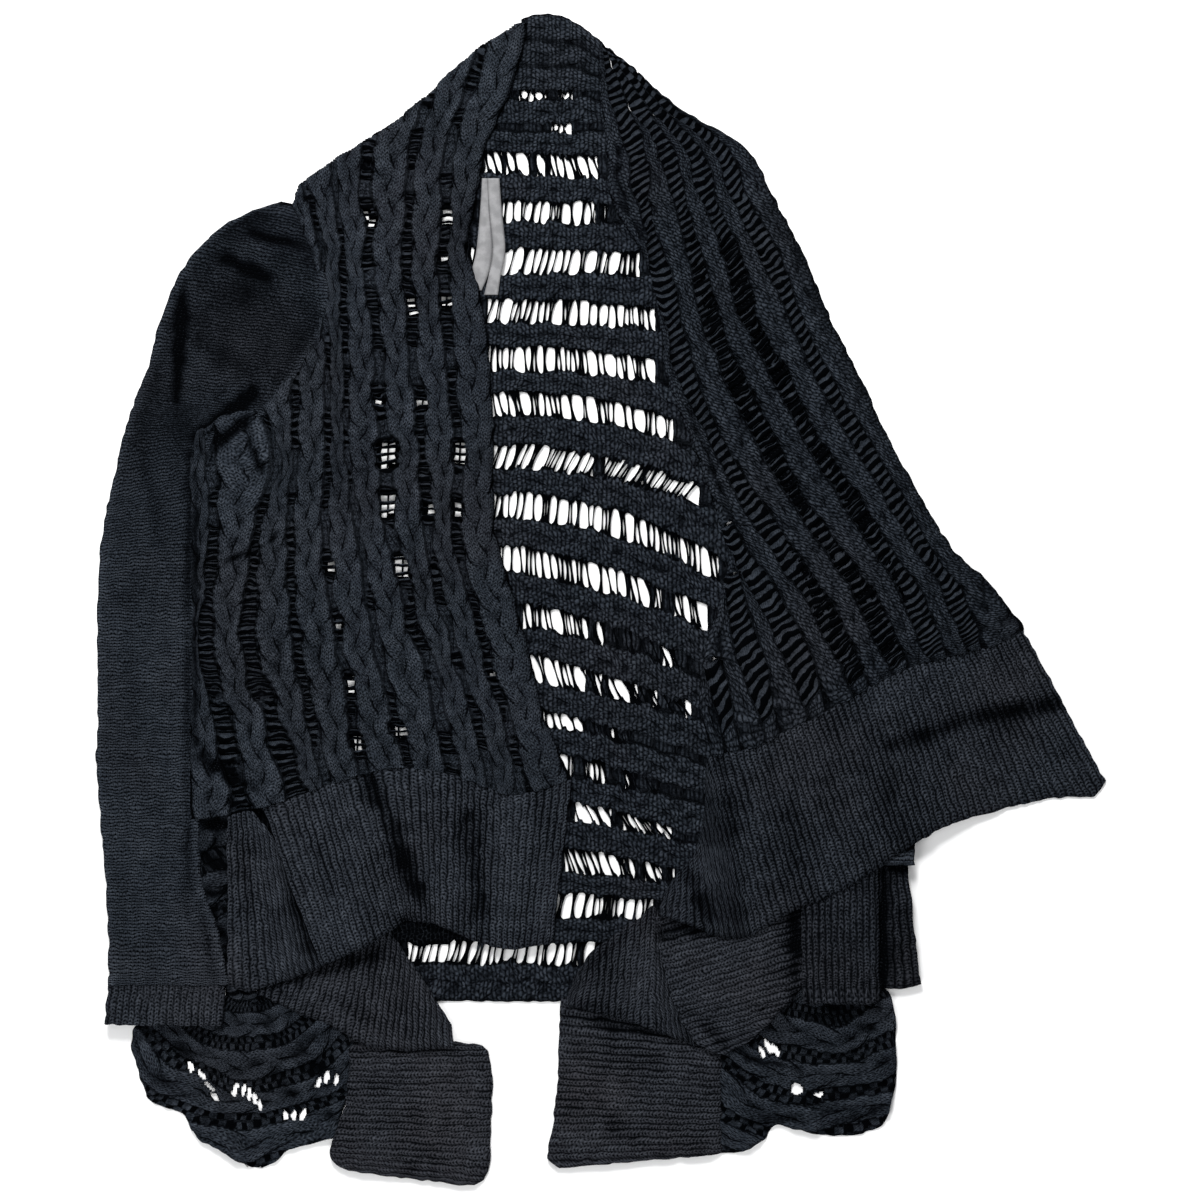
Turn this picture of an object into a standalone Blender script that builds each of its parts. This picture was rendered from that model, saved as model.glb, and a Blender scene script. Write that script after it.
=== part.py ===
"""A knitted cardigan laid out flat on a table, wrong side of the back up.

Plaited cables with ladder rows of dropped stitches, plain sleeves and wide rib bands.
Units in the tables are millimetres. X runs across, Y up the garment, Z off the table,
and the origin is under the middle of the garment. Left and right are as seen from above.
"""
import math
from collections import namedtuple

import bmesh
import bpy
import numpy as np

# Driving dimensions, mm
WALL = 3.0              # one layer of the knit
SEAM = 0.25             # what each piece keeps back from a seam line
PURL_RISE = 1.0         # purl stripes between the ladder rows of the back
CABLE_RISE = 1.8        # plaits on the fronts
RIB_RISE = 0.8          # ribs on the bands and cuffs
RIB_PITCH = 5.0         # one rib and one furrow
LEVEL_1 = WALL + PURL_RISE + 0.4          # underside of what lies on one layer
LEVEL_2 = LEVEL_1 + WALL + RIB_RISE + 0.4  # underside of what lies on two layers
TUBE = 7.0              # a flat sleeve: two walls and the slit between them
TUBE_SLIT = 1.0
OVER_SLEEVE = TUBE + 0.6   # underside of the right front where it covers the sleeve
GAP_WIDTH = 6.8         # a gap of the ladder rows
GAP_PITCH = 9.2         # a gap and a rung
RIM = 2.5               # the back keeps no grid line nearer than this to its sides
LEFT_LADDER = 6.0       # width of a ladder in the left front
RIGHT_LADDER = 12.0     # width of a ladder in the right front, with its slopes
GAP_HALF_HEIGHT = 4.0   # of a gap in the left front
SLEEVE_BEND = 3.0       # how far from its side a flat sleeve is level
CUFF_SIDE = 0.06        # share of a cuff's width that its side fold takes
LEAST_CELL = 0.2        # mm2, grid cells smaller than this are left out
SHARP = 60              # degrees, the corners of edges sharper than this are kept

YARN = (0.021, 0.024, 0.034)
YARN_FADED = (0.030, 0.030, 0.036)
RIBBON = (0.30, 0.30, 0.31)


def columns(names, *rows):
    """A short table: each named column as an array, one row for each section."""
    values = np.array(rows, float).T
    return dict(zip(names.split(), values))


def smooth_at(values, place):
    """The column's value at a place between its rows, on a Catmull-Rom curve."""
    last = len(values) - 1
    row = min(int(place), last - 1)
    part = place - row
    before = values[max(row - 1, 0)]
    start = values[row]
    end = values[row + 1]
    after = values[min(row + 2, last)]
    slope_start = (end - before) / 2
    slope_end = (after - start) / 2
    cubic = (2 * start - 2 * end + slope_start + slope_end) * part ** 3
    square = (3 * end - 3 * start - 2 * slope_start - slope_end) * part ** 2
    return cubic + square + slope_start * part + start


def join_height(join, x):
    """The join's height at x, on a smooth curve through its points."""
    place = np.interp(x, join["x"], range(len(join["x"])))
    return smooth_at(join["y"], float(place))


def ease(value):
    """Smooth step from 0 to 1."""
    value = min(max(value, 0.0), 1.0)
    return value * value * (3 - 2 * value)


# ---- outlines and folds: one row for each section -------------------------------------

# Ladder rows of the back: height at the left, middle and right, open stretch, gap height
ROW_X = (-90.0, 0.0, 75.0)
HIDDEN_X = [-310, -245, -200]   # grid lines under the left front
LAST_GAP_X = 92                 # no gap starts further right
BACK_END_X = 100                # beyond the back's right side at every height
BACK_TOP = (413, 419, 277)
BACK_HEM = (-302, -302, -302)
BACK_ROWS = columns(
    "left middle right open_from open_to gap",
    (378, 378, 374, -62, -21, 5),
    (354, 354, 352, -38, -22, 5),
    (327, 327, 322, -89, 3, 16),
    (291, 290, 286, -74, 5, 15),
    (253, 253, 247, -98, 29, 20),
    (216, 214, 206, -86, 41, 18),
    (181, 177, 166, -84, 41, 18),
    (146, 141, 120, -82, 54, 18),
    (107, 100, 78, -82, 74, 18),
    (70, 60, 30, -81, 89, 19),
    (33, 16, -12, -81, 80, 20),
    (-9, -25, -54, -58, 60, 18),
    (-45, -64, -87, -54, 68, 18),
    (-81, -99, -120, -43, -22, 12),
    (-113, -130, -150, -33, 41, 17),
    (-148, -163, -182, -20, 53, 15),
    (-189, -199, -213, -27, 56, 17),
    (-229, -231, -237, -33, 39, 17),
    (-265, -267, -269, -144, 16, 15),
)
BACK_LEFT = columns(
    "y x",
    (-302, -128), (-268, -150), (-258, -164), (-225, -270), (-158, -270), (-150, -295),
    (-90, -304.8), (52, -304.8), (97, -302), (127, -289), (142, -245), (176, -218),
    (198, -203), (232, -198),
    (266, -209), (296, -225), (315, -217), (341, -177), (361, -151), (381, -127),
    (401, -104), (416, -85), (434, -60),
)
# Right side of the back below its join with the band, where the turned band hides it
BACK_RIGHT_FOOT = columns("y x", (-302, 0), (-270, 39), (-232, 42))

# Left front, from the shoulder down: armhole or sleeve side (a), opening edge (b)
LEFT_FRONT = columns(
    "x_a y_a x_b y_b",
    (-61, 433, -55, 433),
    (-91, 415, -58, 416),
    (-110, 399, -61, 401),
    (-132, 377, -68, 381),
    (-162, 354, -77, 361),
    (-196, 333, -86, 341),
    (-226, 312, -91, 315),
    (-232, 294, -92, 296),
    (-216, 266, -96, 266),
    (-206, 232, -91, 232),
    (-210, 198, -85, 198),
    (-225, 176, -83, 172),
    (-253, 142, -81, 142),
    (-298, 127, -80, 120),
    (-303, 97, -81, 90),
    (-304, 52, -80, 52),
    (-304, 0, -67, 7),
    (-304, -45, -53, -42),
    (-305, -90, -44, -84),
    (-305, -120, -36, -112),
)
# Where the left front meets its rib band
LEFT_JOIN = columns(
    "x y",
    (-304, -165), (-253, -156), (-205, -140), (-157, -127), (-111, -132), (-65, -147),
    (-22, -136),
)
# Where the right front meets its rib band
RIGHT_JOIN = columns(
    "x y",
    (83, -118), (108, -113), (138, -100), (168, -85), (198, -68), (228, -53), (261, -43),
    (292, -36), (308, -30), (318, -24),
)
# Ladders of the left front: x at these heights
LADDER_Y = (337, 262, 187, 112, 37, -38, -113)
JOIN_LEVEL = -135               # middle height of the join with the band
LEFT_LADDERS = columns(
    "shoulder cap chest waist belly hip join",
    (-300, -300, -300, -292, -290, -295, -277),
    (-270, -270, -268, -254, -259, -262, -238),
    (-240, -232, -226, -232, -232, -227, -212),
    (-226, -209, -205, -205, -205, -196, -182),
    (-199, -194, -191, -190, -179, -166, -149),
    (-173, -175, -166, -160, -154, -130, -115),
    (-139, -145, -141, -134, -127, -109, -87),
    (-113, -117, -113, -106, -106, -85, -65),
)
# Gaps that show through the left front: which ladder, and how high
LEFT_GAPS = columns(
    "ladder y",
    (5, 327), (5, 288), (7, 288), (7, 257), (6, 222), (7, 222), (5, 149), (6, 149),
    (5, 109), (7, 109), (5, 69), (6, 69), (7, 69), (5, 24), (3, 24), (6, -21), (3, -21),
    (4, -64), (5, -104), (4, -104),
)

# Right front, from the neck down: seam to the back (a), outer edge (b), lift over the sleeve
RIGHT_FRONT = columns(
    "x_a y_a x_b y_b lift",
    (-1, 419, 8, 414, 0),
    (0, 378, 60, 369, 0),
    (4, 337, 108, 340, 0.3),
    (8, 300, 131, 300, 1),
    (33, 255, 155, 253, 1),
    (44, 210, 173, 210, 1),
    (50, 165, 196, 165, 1),
    (67, 120, 217, 120, 1),
    (83, 75, 242, 75, 1),
    (95, 33, 266, 36, 1),
    (89, 0, 292, 13, 1),
    (79, -34, 308, -8, 1),
    (74, -75, 316, -17, 1),
    (83, -118, 318, -23, 1),
)
# Ladders of the right front: share of the way across, for each section after the first
RIGHT_LADDERS = columns(
    "s1 s2 s3 s4 s5 s6 s7 s8 s9 s10 s11 s12 s13",
    (0, 0, 0, 0, 0, 0, 0, 0, 0, 0, 0, .07, .07),
    (0, 0, 0, 0, 0, 0, 0, 0, 0, .06, .13, .19, .20),
    (0, 0, 0, 0, 0, 0, 0, 0, .06, .18, .27, .33, .34),
    (.22, .22, .20, .08, .08, .11, .13, .18, .26, .35, .42, .47, .48),
    (.44, .43, .42, .32, .30, .35, .38, .41, .48, .53, .57, .60, .61),
    (.64, .62, .60, .55, .53, .59, .61, .66, .69, .70, .71, .72, .73),
    (.84, .82, .79, .79, .80, .81, .85, .87, .87, .85, .84, .84, .84),
)

# Bands: each row is one rib line from join to edge, with the height of its underside
BAND = "x_join y_join x_edge y_edge under_join under_edge"
LEFT_BAND_FRONT = columns(
    BAND,
    (-254, -158, -210, -275, LEVEL_1, LEVEL_2),
    (-235, -151, -196, -269, LEVEL_1, LEVEL_2 + 2),
    (-212, -143, -177, -261, LEVEL_1, LEVEL_2 + 3),
    (-192, -134, -157, -248, LEVEL_1, LEVEL_2 + 2),
    (-175, -129, -148, -242, LEVEL_1, LEVEL_1),
    (-157, -126, -142, -241, LEVEL_1, LEVEL_1),
    (-136, -127, -130, -242, LEVEL_1, LEVEL_1 + 3),
    (-111, -133, -113, -248, LEVEL_1, LEVEL_1 + 3),
    (-85, -145, -89, -258, LEVEL_1, LEVEL_1),
    (-65, -147, -70, -262, LEVEL_1, LEVEL_1 + 3),
    (-42, -147, -53, -261, LEVEL_1, LEVEL_1 + 2),
    (-22, -137, -36, -258, LEVEL_1, LEVEL_1),
)
LEFT_BAND_UNDER = columns(
    BAND,
    (-280, -169, -279, -290, LEVEL_1, LEVEL_1),
    (-271, -166, -265, -294, LEVEL_1, LEVEL_1),
    (-260, -166, -247, -289, LEVEL_1, LEVEL_1),
    (-242, -190, -225, -282, LEVEL_1, LEVEL_1),
    (-226, -230, -206, -274, LEVEL_1, LEVEL_1),
)
LEFT_BAND_TURN = columns(
    BAND,
    (-254, -291, -255, -297, 0, LEVEL_1),
    (-237, -286, -241, -303, 0, LEVEL_1),
    (-210, -275, -222, -311, 0, LEVEL_1),
    (-188, -267, -200, -318, 0, LEVEL_1),
    (-169, -262, -179, -330, 0, LEVEL_1),
    (-155, -272, -162, -334, 0, LEVEL_1),
    (-142, -287, -145, -336, 0, LEVEL_1),
    (-127, -303, -127, -336, 0, LEVEL_1),
    (-112, -323, -110, -336, 0, LEVEL_1),
)
LEFT_BAND_END = columns(
    BAND,
    (-187, -327, -98, -335, 0, 0),
    (-187, -339, -87, -338, 0, 0),
    (-187, -357, -82, -357, 0, 0),
    (-189, -379, -82, -383, 0, 0),
    (-197, -402, -83, -405, 0, 0),
    (-200, -417, -84, -425, 0, 0),
    (-190, -428, -90, -438, 0, 0),
    (-170, -432, -105, -440, 0, 0),
)
RIGHT_BAND_FRONT = columns(
    BAND,
    (43, -229, 41, -235, LEVEL_2, LEVEL_2),
    (53, -211, 49, -238, LEVEL_2, LEVEL_2),
    (67, -196, 67, -245, 4, LEVEL_2),
    (74, -180, 86, -252, 1, LEVEL_2),
    (78, -151, 100, -254, 1, LEVEL_2),
    (83, -118, 116, -250, 1, LEVEL_2),
    (108, -113, 142, -234, 4, LEVEL_2 + 4),
    (138, -100, 176, -220, OVER_SLEEVE, LEVEL_2 + 4),
    (168, -85, 209, -200, OVER_SLEEVE, LEVEL_2 + 4),
    (198, -68, 236, -182, OVER_SLEEVE, LEVEL_2 + 4),
    (228, -53, 266, -167, OVER_SLEEVE, OVER_SLEEVE),
    (261, -43, 303, -157, OVER_SLEEVE - 2, 1),
    (292, -36, 344, -149, 3, 0),
    (308, -30, 370, -148, 1, 0),
    (318, -24, 379, -136, 0, 0),
)
RIGHT_BAND_UNDER = columns(
    BAND,
    (46, -243, 149, -215, LEVEL_1, LEVEL_1),
    (50, -263, 149, -235, LEVEL_1, LEVEL_1),
    (56, -289, 148, -259, LEVEL_1, LEVEL_1),
    (64, -312, 147, -289, LEVEL_1, LEVEL_1),
    (74, -331, 127, -315, LEVEL_1, LEVEL_1),
    (94, -341, 111, -332, LEVEL_1, LEVEL_1),
)
RIGHT_BAND_TURN = columns(
    BAND,
    (-22, -290, -27, -304, LEVEL_1, LEVEL_1),
    (0, -271, -8, -309, LEVEL_1, LEVEL_1),
    (22, -236, 14, -315, LEVEL_1, LEVEL_1),
    (37, -206, 33, -320, LEVEL_1, LEVEL_1),
    (41, -245, 48, -326, LEVEL_1, LEVEL_1),
    (53, -290, 67, -334, LEVEL_1, LEVEL_1),
)
RIGHT_BAND_END = columns(
    BAND,
    (-30, -304, 86, -323, 0, 0),
    (-32, -338, 88, -345, 0, 0),
    (-33, -368, 89, -375, 0, 0),
    (-37, -398, 89, -398, 0, 0),
    (-40, -419, 88, -415, 0, 0),
    (-31, -428, 75, -418, 0, 0),
)

# Side fold and cascades: body cloth that lies on the table below the bands
LEFT_SIDE_FOLD = columns(
    "x_a y_a x_b y_b",
    (-303, -171, -270, -171),
    (-301, -188, -270, -188),
    (-297, -210, -273, -210),
    (-287, -248, -272, -248),
    (-278, -289, -266, -289),
    (-278, -300, -263, -300),
)
LEFT_CASCADE = columns(
    "x_a y_a x_b y_b",
    (-326, -303, -258, -303),
    (-340, -310, -226, -313),
    (-350, -321, -196, -321),
    (-352, -328, -188.4, -329),
    (-353, -338, -187.3, -338),
    (-349, -349, -187.3, -349),
    (-345, -364, -189, -364),
    (-338, -377, -192, -377),
    (-315, -387, -195, -387),
    (-308, -398, -198, -398),
    (-300, -407, -202, -405),
    (-287, -413, -233, -413),
    (-274, -422, -244, -422),
    (-263, -427, -254, -427),
)
RIGHT_CASCADE = columns(
    "x_a y_a x_b y_b",
    (92, -331, 92, -416),
    (101, -326, 101, -415),
    (112, -316, 112, -413),
    (123, -304, 123, -405),
    (132, -293, 132, -395),
    (149, -289, 149, -399),
    (164, -289, 164, -402),
    (179, -289, 179, -403),
    (198, -289, 198, -401),
    (212, -291, 212, -394),
    (219, -302, 219, -377),
    (222, -324, 222, -357),
)
# Gaps that show through the cascades
LEFT_CASCADE_GAPS = columns(
    "x y",
    (-308, -351), (-300, -358), (-290, -369), (-263, -371), (-230, -387), (-206, -358),
)
RIGHT_CASCADE_GAPS = columns(
    "x y",
    (119, -338), (132, -338), (147, -368), (164, -372),
)
# Swells of the plaits in the cascades
SWELL_RISE = 1.0
SWELL_WIDTH = 57
SWELL_LENGTH = 88

# Sleeves: left side (a) and right side (b) of each section, and its underside
SLEEVE = "x_a y_a x_b y_b under"
LEFT_SLEEVE = columns(
    SLEEVE,
    (-251, 298, -233, 293, 0),
    (-284, 280, -217, 266, 0),
    (-313, 250, -207, 232, 0),
    (-330, 213, -211, 198, 0),
    (-338, 182, -226, 176, 0),
    (-349, 152, -254, 143, 0),
    (-357, 128, -299, 129, 0),
    (-368, 82, -304, 97, 0),
    (-375, 45, -305, 52, 0),
    (-378, 0, -305, 0, 0),
    (-378, -45, -305, -45, 0),
    (-378, -90, -306, -90, 0),
    (-379, -120, -306, -120, 0),
    (-376, -165, -305, -165, 0),
    (-372, -210, -303, -210, 0),
    (-370, -248, -291, -248, 0),
    (-369, -289, -282, -289, LEVEL_1),
)
LEFT_CUFF = columns(
    SLEEVE,
    (-369, -289.3, -282, -289.3, LEVEL_1),
    (-371, -303, -282, -303, LEVEL_1),
    (-372, -318, -283, -319, LEVEL_1),
)
RIGHT_SLEEVE = columns(
    SLEEVE,
    (62, 280, 100, 284, 0),
    (61, 257, 127, 257, 0),
    (69, 225, 137, 225, 0),
    (77, 187, 154, 187, 0),
    (88, 150, 168, 150, 0),
    (103, 112, 187, 112, 0),
    (119, 75, 205, 75, 0),
    (137, 37, 221, 37, 0),
    (153, 0, 235, 0, 0),
    (158, -50, 236, -50, 0),
    (156, -100, 236, -100, 0),
    (154, -150, 235, -150, 0),
    (152, -190, 232, -190, LEVEL_1),
    (151, -199, 232, -199, LEVEL_1),
)
RIGHT_CUFF = columns(
    SLEEVE,
    (150, -199.3, 208, -199.3, LEVEL_1),
    (151, -290, 209, -290, LEVEL_1),
    (153, -303, 207, -303, LEVEL_1),
)
RIGHT_CUFF_FOLD = columns(
    BAND,
    (210, -199.1, 210, -291, LEVEL_1, LEVEL_1),
    (220, -199.1, 226, -292, LEVEL_1, LEVEL_1),
    (230, -199.1, 240, -289, LEVEL_1, LEVEL_1),
)
# Ribbon label: left edge, crease and right edge
NECK_LABEL = columns(
    "y x_a x_b",
    (316, -89, -76), (292, -90, -75), (262, -93, -73), (245, -91, -74), (229, -87, -78),
)
LABEL_WALL = 0.8


# ---- building ---------------------------------------------------------------------------

Wall = namedtuple("Wall", "xs ys under top")


def paint(name, colour):
    """The piece's own matt yarn."""
    material = bpy.data.materials.new(name + "_yarn")
    material.use_nodes = True
    shader = material.node_tree.nodes["Principled BSDF"]
    shader.inputs["Base Color"].default_value = (*colour, 1)
    shader.inputs["Roughness"].default_value = 0.9
    shader.inputs["Metallic"].default_value = 0.0
    return material


def add_object(name, points, faces, colour, flat_tolerance):
    """Make the object and join its level faces, which an even grid has far too many of."""
    mesh = bpy.data.meshes.new(name)
    work = bmesh.new()
    corners = [work.verts.new([value / 1000 for value in point]) for point in points]
    for face in faces:
        work.faces.new([corners[corner] for corner in face])
    bmesh.ops.recalc_face_normals(work, faces=work.faces)
    rim = {corner for edge in work.edges for corner in edge.verts
           if edge.calc_face_angle(0) > math.radians(SHARP)}
    inner = [corner for corner in work.verts if corner not in rim]
    bmesh.ops.dissolve_limit(work, angle_limit=math.radians(flat_tolerance),
                             verts=inner, edges=work.edges)
    bmesh.ops.triangulate(work, faces=work.faces)
    work.to_mesh(mesh)
    work.free()
    mesh.materials.append(paint(name, colour))
    bpy.context.scene.collection.objects.link(bpy.data.objects.new(name, mesh))


def add_wall(name, wall, gaps=(), colour=YARN, flat_tolerance=0.6):
    """A closed wall over a grid of points; gaps are the grid cells that stay open."""
    rows, across = wall.xs.shape
    places = {}
    points = []
    index = np.zeros((rows, across), int)
    for row in range(rows):
        for column in range(across):
            place = (round(wall.xs[row, column], 1), round(wall.ys[row, column], 1))
            if place not in places:
                places[place] = len(points)
                points.append((*place, wall.under[row, column], wall.top[row, column]))
            index[row, column] = places[place]
    tops = []
    for row in range(rows - 1):
        for column in range(across - 1):
            if (row, column) in gaps:
                continue
            ring = (index[row, column], index[row, column + 1],
                    index[row + 1, column + 1], index[row + 1, column])
            ring = [corner for spot, corner in enumerate(ring) if corner != ring[spot - 1]]
            if len(set(ring)) < 3 or len(set(ring)) < len(ring):
                continue
            if abs(area(ring, points)) > LEAST_CELL:
                tops.append(ring)
    edges = {}
    for ring in tops:
        for spot, corner in enumerate(ring):
            edges[(ring[spot - 1], corner)] = ring
    count = len(points)
    faces = tops + [[corner + count for corner in reversed(ring)] for ring in tops]
    for start, end in edges:
        if (end, start) not in edges:
            faces.append([end, start, start + count, end + count])
    used = sorted({corner for face in faces for corner in face})
    renumber = {corner: spot for spot, corner in enumerate(used)}
    both = [(x, y, top) for x, y, under, top in points]
    both += [(x, y, under) for x, y, under, top in points]
    kept = [both[corner] for corner in used]
    faces = [[renumber[corner] for corner in face] for face in faces]
    add_object(name, kept, faces, colour, flat_tolerance)


def area(ring, points):
    """Plan area of a ring of corners, mm2."""
    total = 0.0
    for spot, corner in enumerate(ring):
        x_before, y_before = points[ring[spot - 1]][:2]
        x, y = points[corner][:2]
        total += x_before * y - x * y_before
    return total / 2


def across_sections(table, acrosses, places, keys):
    """Points a to b of each section, at the given shares of the way across."""
    xs = np.zeros((len(places), len(acrosses[0])))
    ys = np.zeros_like(xs)
    for row, place in enumerate(places):
        x_a, y_a, x_b, y_b = [smooth_at(table[key], place) for key in keys]
        share = np.array(acrosses[row])
        xs[row] = x_a + (x_b - x_a) * share
        ys[row] = y_a + (y_b - y_a) * share
    return xs, ys


def seam_back(table, amount):
    """Draw both sides of each section in by the seam allowance."""
    drawn = dict(table)
    keys = ("x_a", "y_a", "x_b", "y_b")
    if "x_join" in table:
        keys = ("x_join", "y_join", "x_edge", "y_edge")
    x_a, y_a, x_b, y_b = (table[key] for key in keys)
    length = np.maximum(np.hypot(x_b - x_a, y_b - y_a), 0.1)
    step = np.minimum(amount / length, 0.2)
    drawn[keys[0]] = x_a + (x_b - x_a) * step
    drawn[keys[1]] = y_a + (y_b - y_a) * step
    drawn[keys[2]] = x_b - (x_b - x_a) * step
    drawn[keys[3]] = y_b - (y_b - y_a) * step
    return drawn


def add_band(name, table, rise_by=0.8, join=None, colour=YARN):
    """A rib band: ribs run from join to edge, raised on the outer face only.

    Its underside has reached the edge's height by the share rise_by of each rib.
    """
    table = seam_back(table, SEAM)
    rows = len(table["x_join"])
    middles = [(table["x_join"] + table["x_edge"]) / 2, (table["y_join"] + table["y_edge"]) / 2]
    width = np.hypot(np.diff(middles[0]), np.diff(middles[1])).sum()
    ribs = max(int(round(width / RIB_PITCH)), 2)
    places = np.linspace(0, rows - 1, 2 * ribs + 1)
    level = np.array_equal(table["under_join"], table["under_edge"])
    lengths = (0.0, 1.0) if level else (0.0, rise_by, 1.0)
    xs, ys = across_sections(table, [lengths] * len(places), places,
                             ("x_join", "y_join", "x_edge", "y_edge"))
    if join:
        for row in range(len(places)):
            if xs[row, 0] > join["x"][0]:
                ys[row, 0] = join_height(join, xs[row, 0]) - SEAM
    under = np.zeros_like(xs)
    top = np.zeros_like(xs)
    for row, place in enumerate(places):
        at_join = np.interp(place, range(rows), table["under_join"])
        at_edge = np.interp(place, range(rows), table["under_edge"])
        for column, share in enumerate(lengths):
            under[row, column] = at_join + (at_edge - at_join) * ease(share / rise_by)
            crest = RIB_RISE if row % 2 else 0
            top[row, column] = under[row, column] + WALL + crest
    add_wall(name, Wall(xs, ys, under, top), colour=colour)


def add_sheet(name, table, across, along, relief, gap_spots=()):
    """A panel on the table, across its sections a to b, with swells and gaps."""
    table = seam_back(table, SEAM)
    places = np.linspace(0, len(table["x_a"]) - 1, along)
    shares = np.linspace(0, 1, across)
    xs, ys = across_sections(table, [shares] * along, places, ("x_a", "y_a", "x_b", "y_b"))
    under = np.zeros_like(xs)
    top = under + WALL
    for row in range(1, along - 1):
        for column in range(1, across - 1):
            top[row, column] += relief(xs[row, column], ys[row, column])
    gaps = {nearest_cell(xs, ys, x, y) for x, y in gap_spots}
    add_wall(name, Wall(xs, ys, under, top), gaps)


def nearest_cell(xs, ys, x, y):
    """The odd grid cell whose middle lies nearest to a spot, so that no two gaps touch."""
    middle_x = ((xs[:-1, :-1] + xs[1:, 1:]) / 2)[1::2, 1::2]
    middle_y = ((ys[:-1, :-1] + ys[1:, 1:]) / 2)[1::2, 1::2]
    spot = np.argmin((middle_x - x) ** 2 + (middle_y - y) ** 2)
    row, column = np.unravel_index(spot, middle_x.shape)
    return (2 * int(row) + 1, 2 * int(column) + 1)


def row_height(left, middle, right, x):
    """A ladder row's height at x: level at the far left, a parabola through its three."""
    x = max(x, ROW_X[0])
    a, b, c = ROW_X
    part_left = left * (x - b) * (x - c) / ((a - b) * (a - c))
    part_middle = middle * (x - a) * (x - c) / ((b - a) * (b - c))
    part_right = right * (x - a) * (x - b) / ((c - a) * (c - b))
    return part_left + part_middle + part_right


def back_line(line, x):
    """Height of a named line of the back at x: (ladder row or end, share of its gap)."""
    row, share = line
    if row < 0:
        return row_height(*BACK_TOP, x)
    if row >= len(BACK_ROWS["gap"]):
        return row_height(*BACK_HEM, x)
    heights = [BACK_ROWS[key][row] for key in ("left", "middle", "right")]
    return row_height(*heights, x) + share * BACK_ROWS["gap"][row] / 2


def back_right_side():
    """The back's right side, upwards: its foot, the band's join, then the right front's side."""
    join_row = list(RIGHT_BAND_FRONT["x_join"]).index(RIGHT_FRONT["x_a"][-1])
    band_rows = np.linspace(0, join_row, 16)
    front_rows = np.linspace(len(RIGHT_FRONT["x_a"]) - 1, 0, 40)
    xs = list(BACK_RIGHT_FOOT["x"])
    xs += [smooth_at(RIGHT_BAND_FRONT["x_join"], place) for place in band_rows[:-1]]
    xs += [smooth_at(RIGHT_FRONT["x_a"], place) for place in front_rows]
    ys = list(BACK_RIGHT_FOOT["y"])
    ys += [smooth_at(RIGHT_BAND_FRONT["y_join"], place) for place in band_rows[:-1]]
    ys += [smooth_at(RIGHT_FRONT["y_a"], place) for place in front_rows]
    return ys, xs


def draw_to_side(line, x, right_side):
    """Bring a point of a line inside the back's sides; a point near a side goes onto it."""
    for _ in range(20):
        if line[0] == "stripe":
            y = (back_line((line[1], -1), x) + back_line((line[1] + 1, 1), x)) / 2
        else:
            y = back_line(line, x)
        left = np.interp(y, BACK_LEFT["y"], BACK_LEFT["x"])
        right = np.interp(y, *right_side) - 2 * SEAM
        if x < left + RIM:
            side, x = "left", left
        elif x > right - RIM:
            side, x = "right", right
        else:
            side = "inside"
    return side, x, y


def add_back():
    """The back: ladder rows cut through, purl stripes raised between them."""
    right_side = back_right_side()
    rows = len(BACK_ROWS["gap"])
    gap_xs = np.arange(BACK_ROWS["open_from"].min(), LAST_GAP_X, GAP_PITCH)
    gap_sides = [x for gap in gap_xs for x in (gap, gap + GAP_WIDTH)]
    xs_line = HIDDEN_X + gap_sides + [BACK_END_X]
    lines = [(-1, 0)]
    for row in range(rows):
        lines += [(row, 1), (row, -1)]
        if row < rows - 1:
            lines.append(("stripe", row))
    lines.append((rows, 0))
    xs = np.zeros((len(lines), len(xs_line)))
    ys = np.zeros_like(xs)
    top = np.full_like(xs, WALL)
    for spot, line in enumerate(lines):
        sides = {}
        for column, line_x in enumerate(xs_line):
            side, x, y = draw_to_side(line, line_x, right_side)
            if side != "inside":
                x, y = sides.setdefault(side, (x, y))
            xs[spot, column] = x
            ys[spot, column] = y
        if line[0] == "stripe":
            top[spot] += PURL_RISE
    gaps = set()
    for spot, line in enumerate(lines):
        if line[0] in ("stripe", -1, rows) or line[1] < 0:
            continue
        row = line[0]
        for number, x in enumerate(gap_xs):
            column = len(HIDDEN_X) + 2 * number
            inside = (x > BACK_ROWS["open_from"][row] - 1
                      and x + GAP_WIDTH < BACK_ROWS["open_to"][row] + 1)
            rung = min(xs[spot, column + 2] - xs[spot, column + 1],
                       xs[spot + 1, column + 2] - xs[spot + 1, column + 1])
            if inside and rung > 1:
                gaps.add((spot, column))
    wall = Wall(xs, ys, np.zeros_like(xs), top)
    add_wall("back_panel", wall, gaps, flat_tolerance=6.0)


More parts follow.
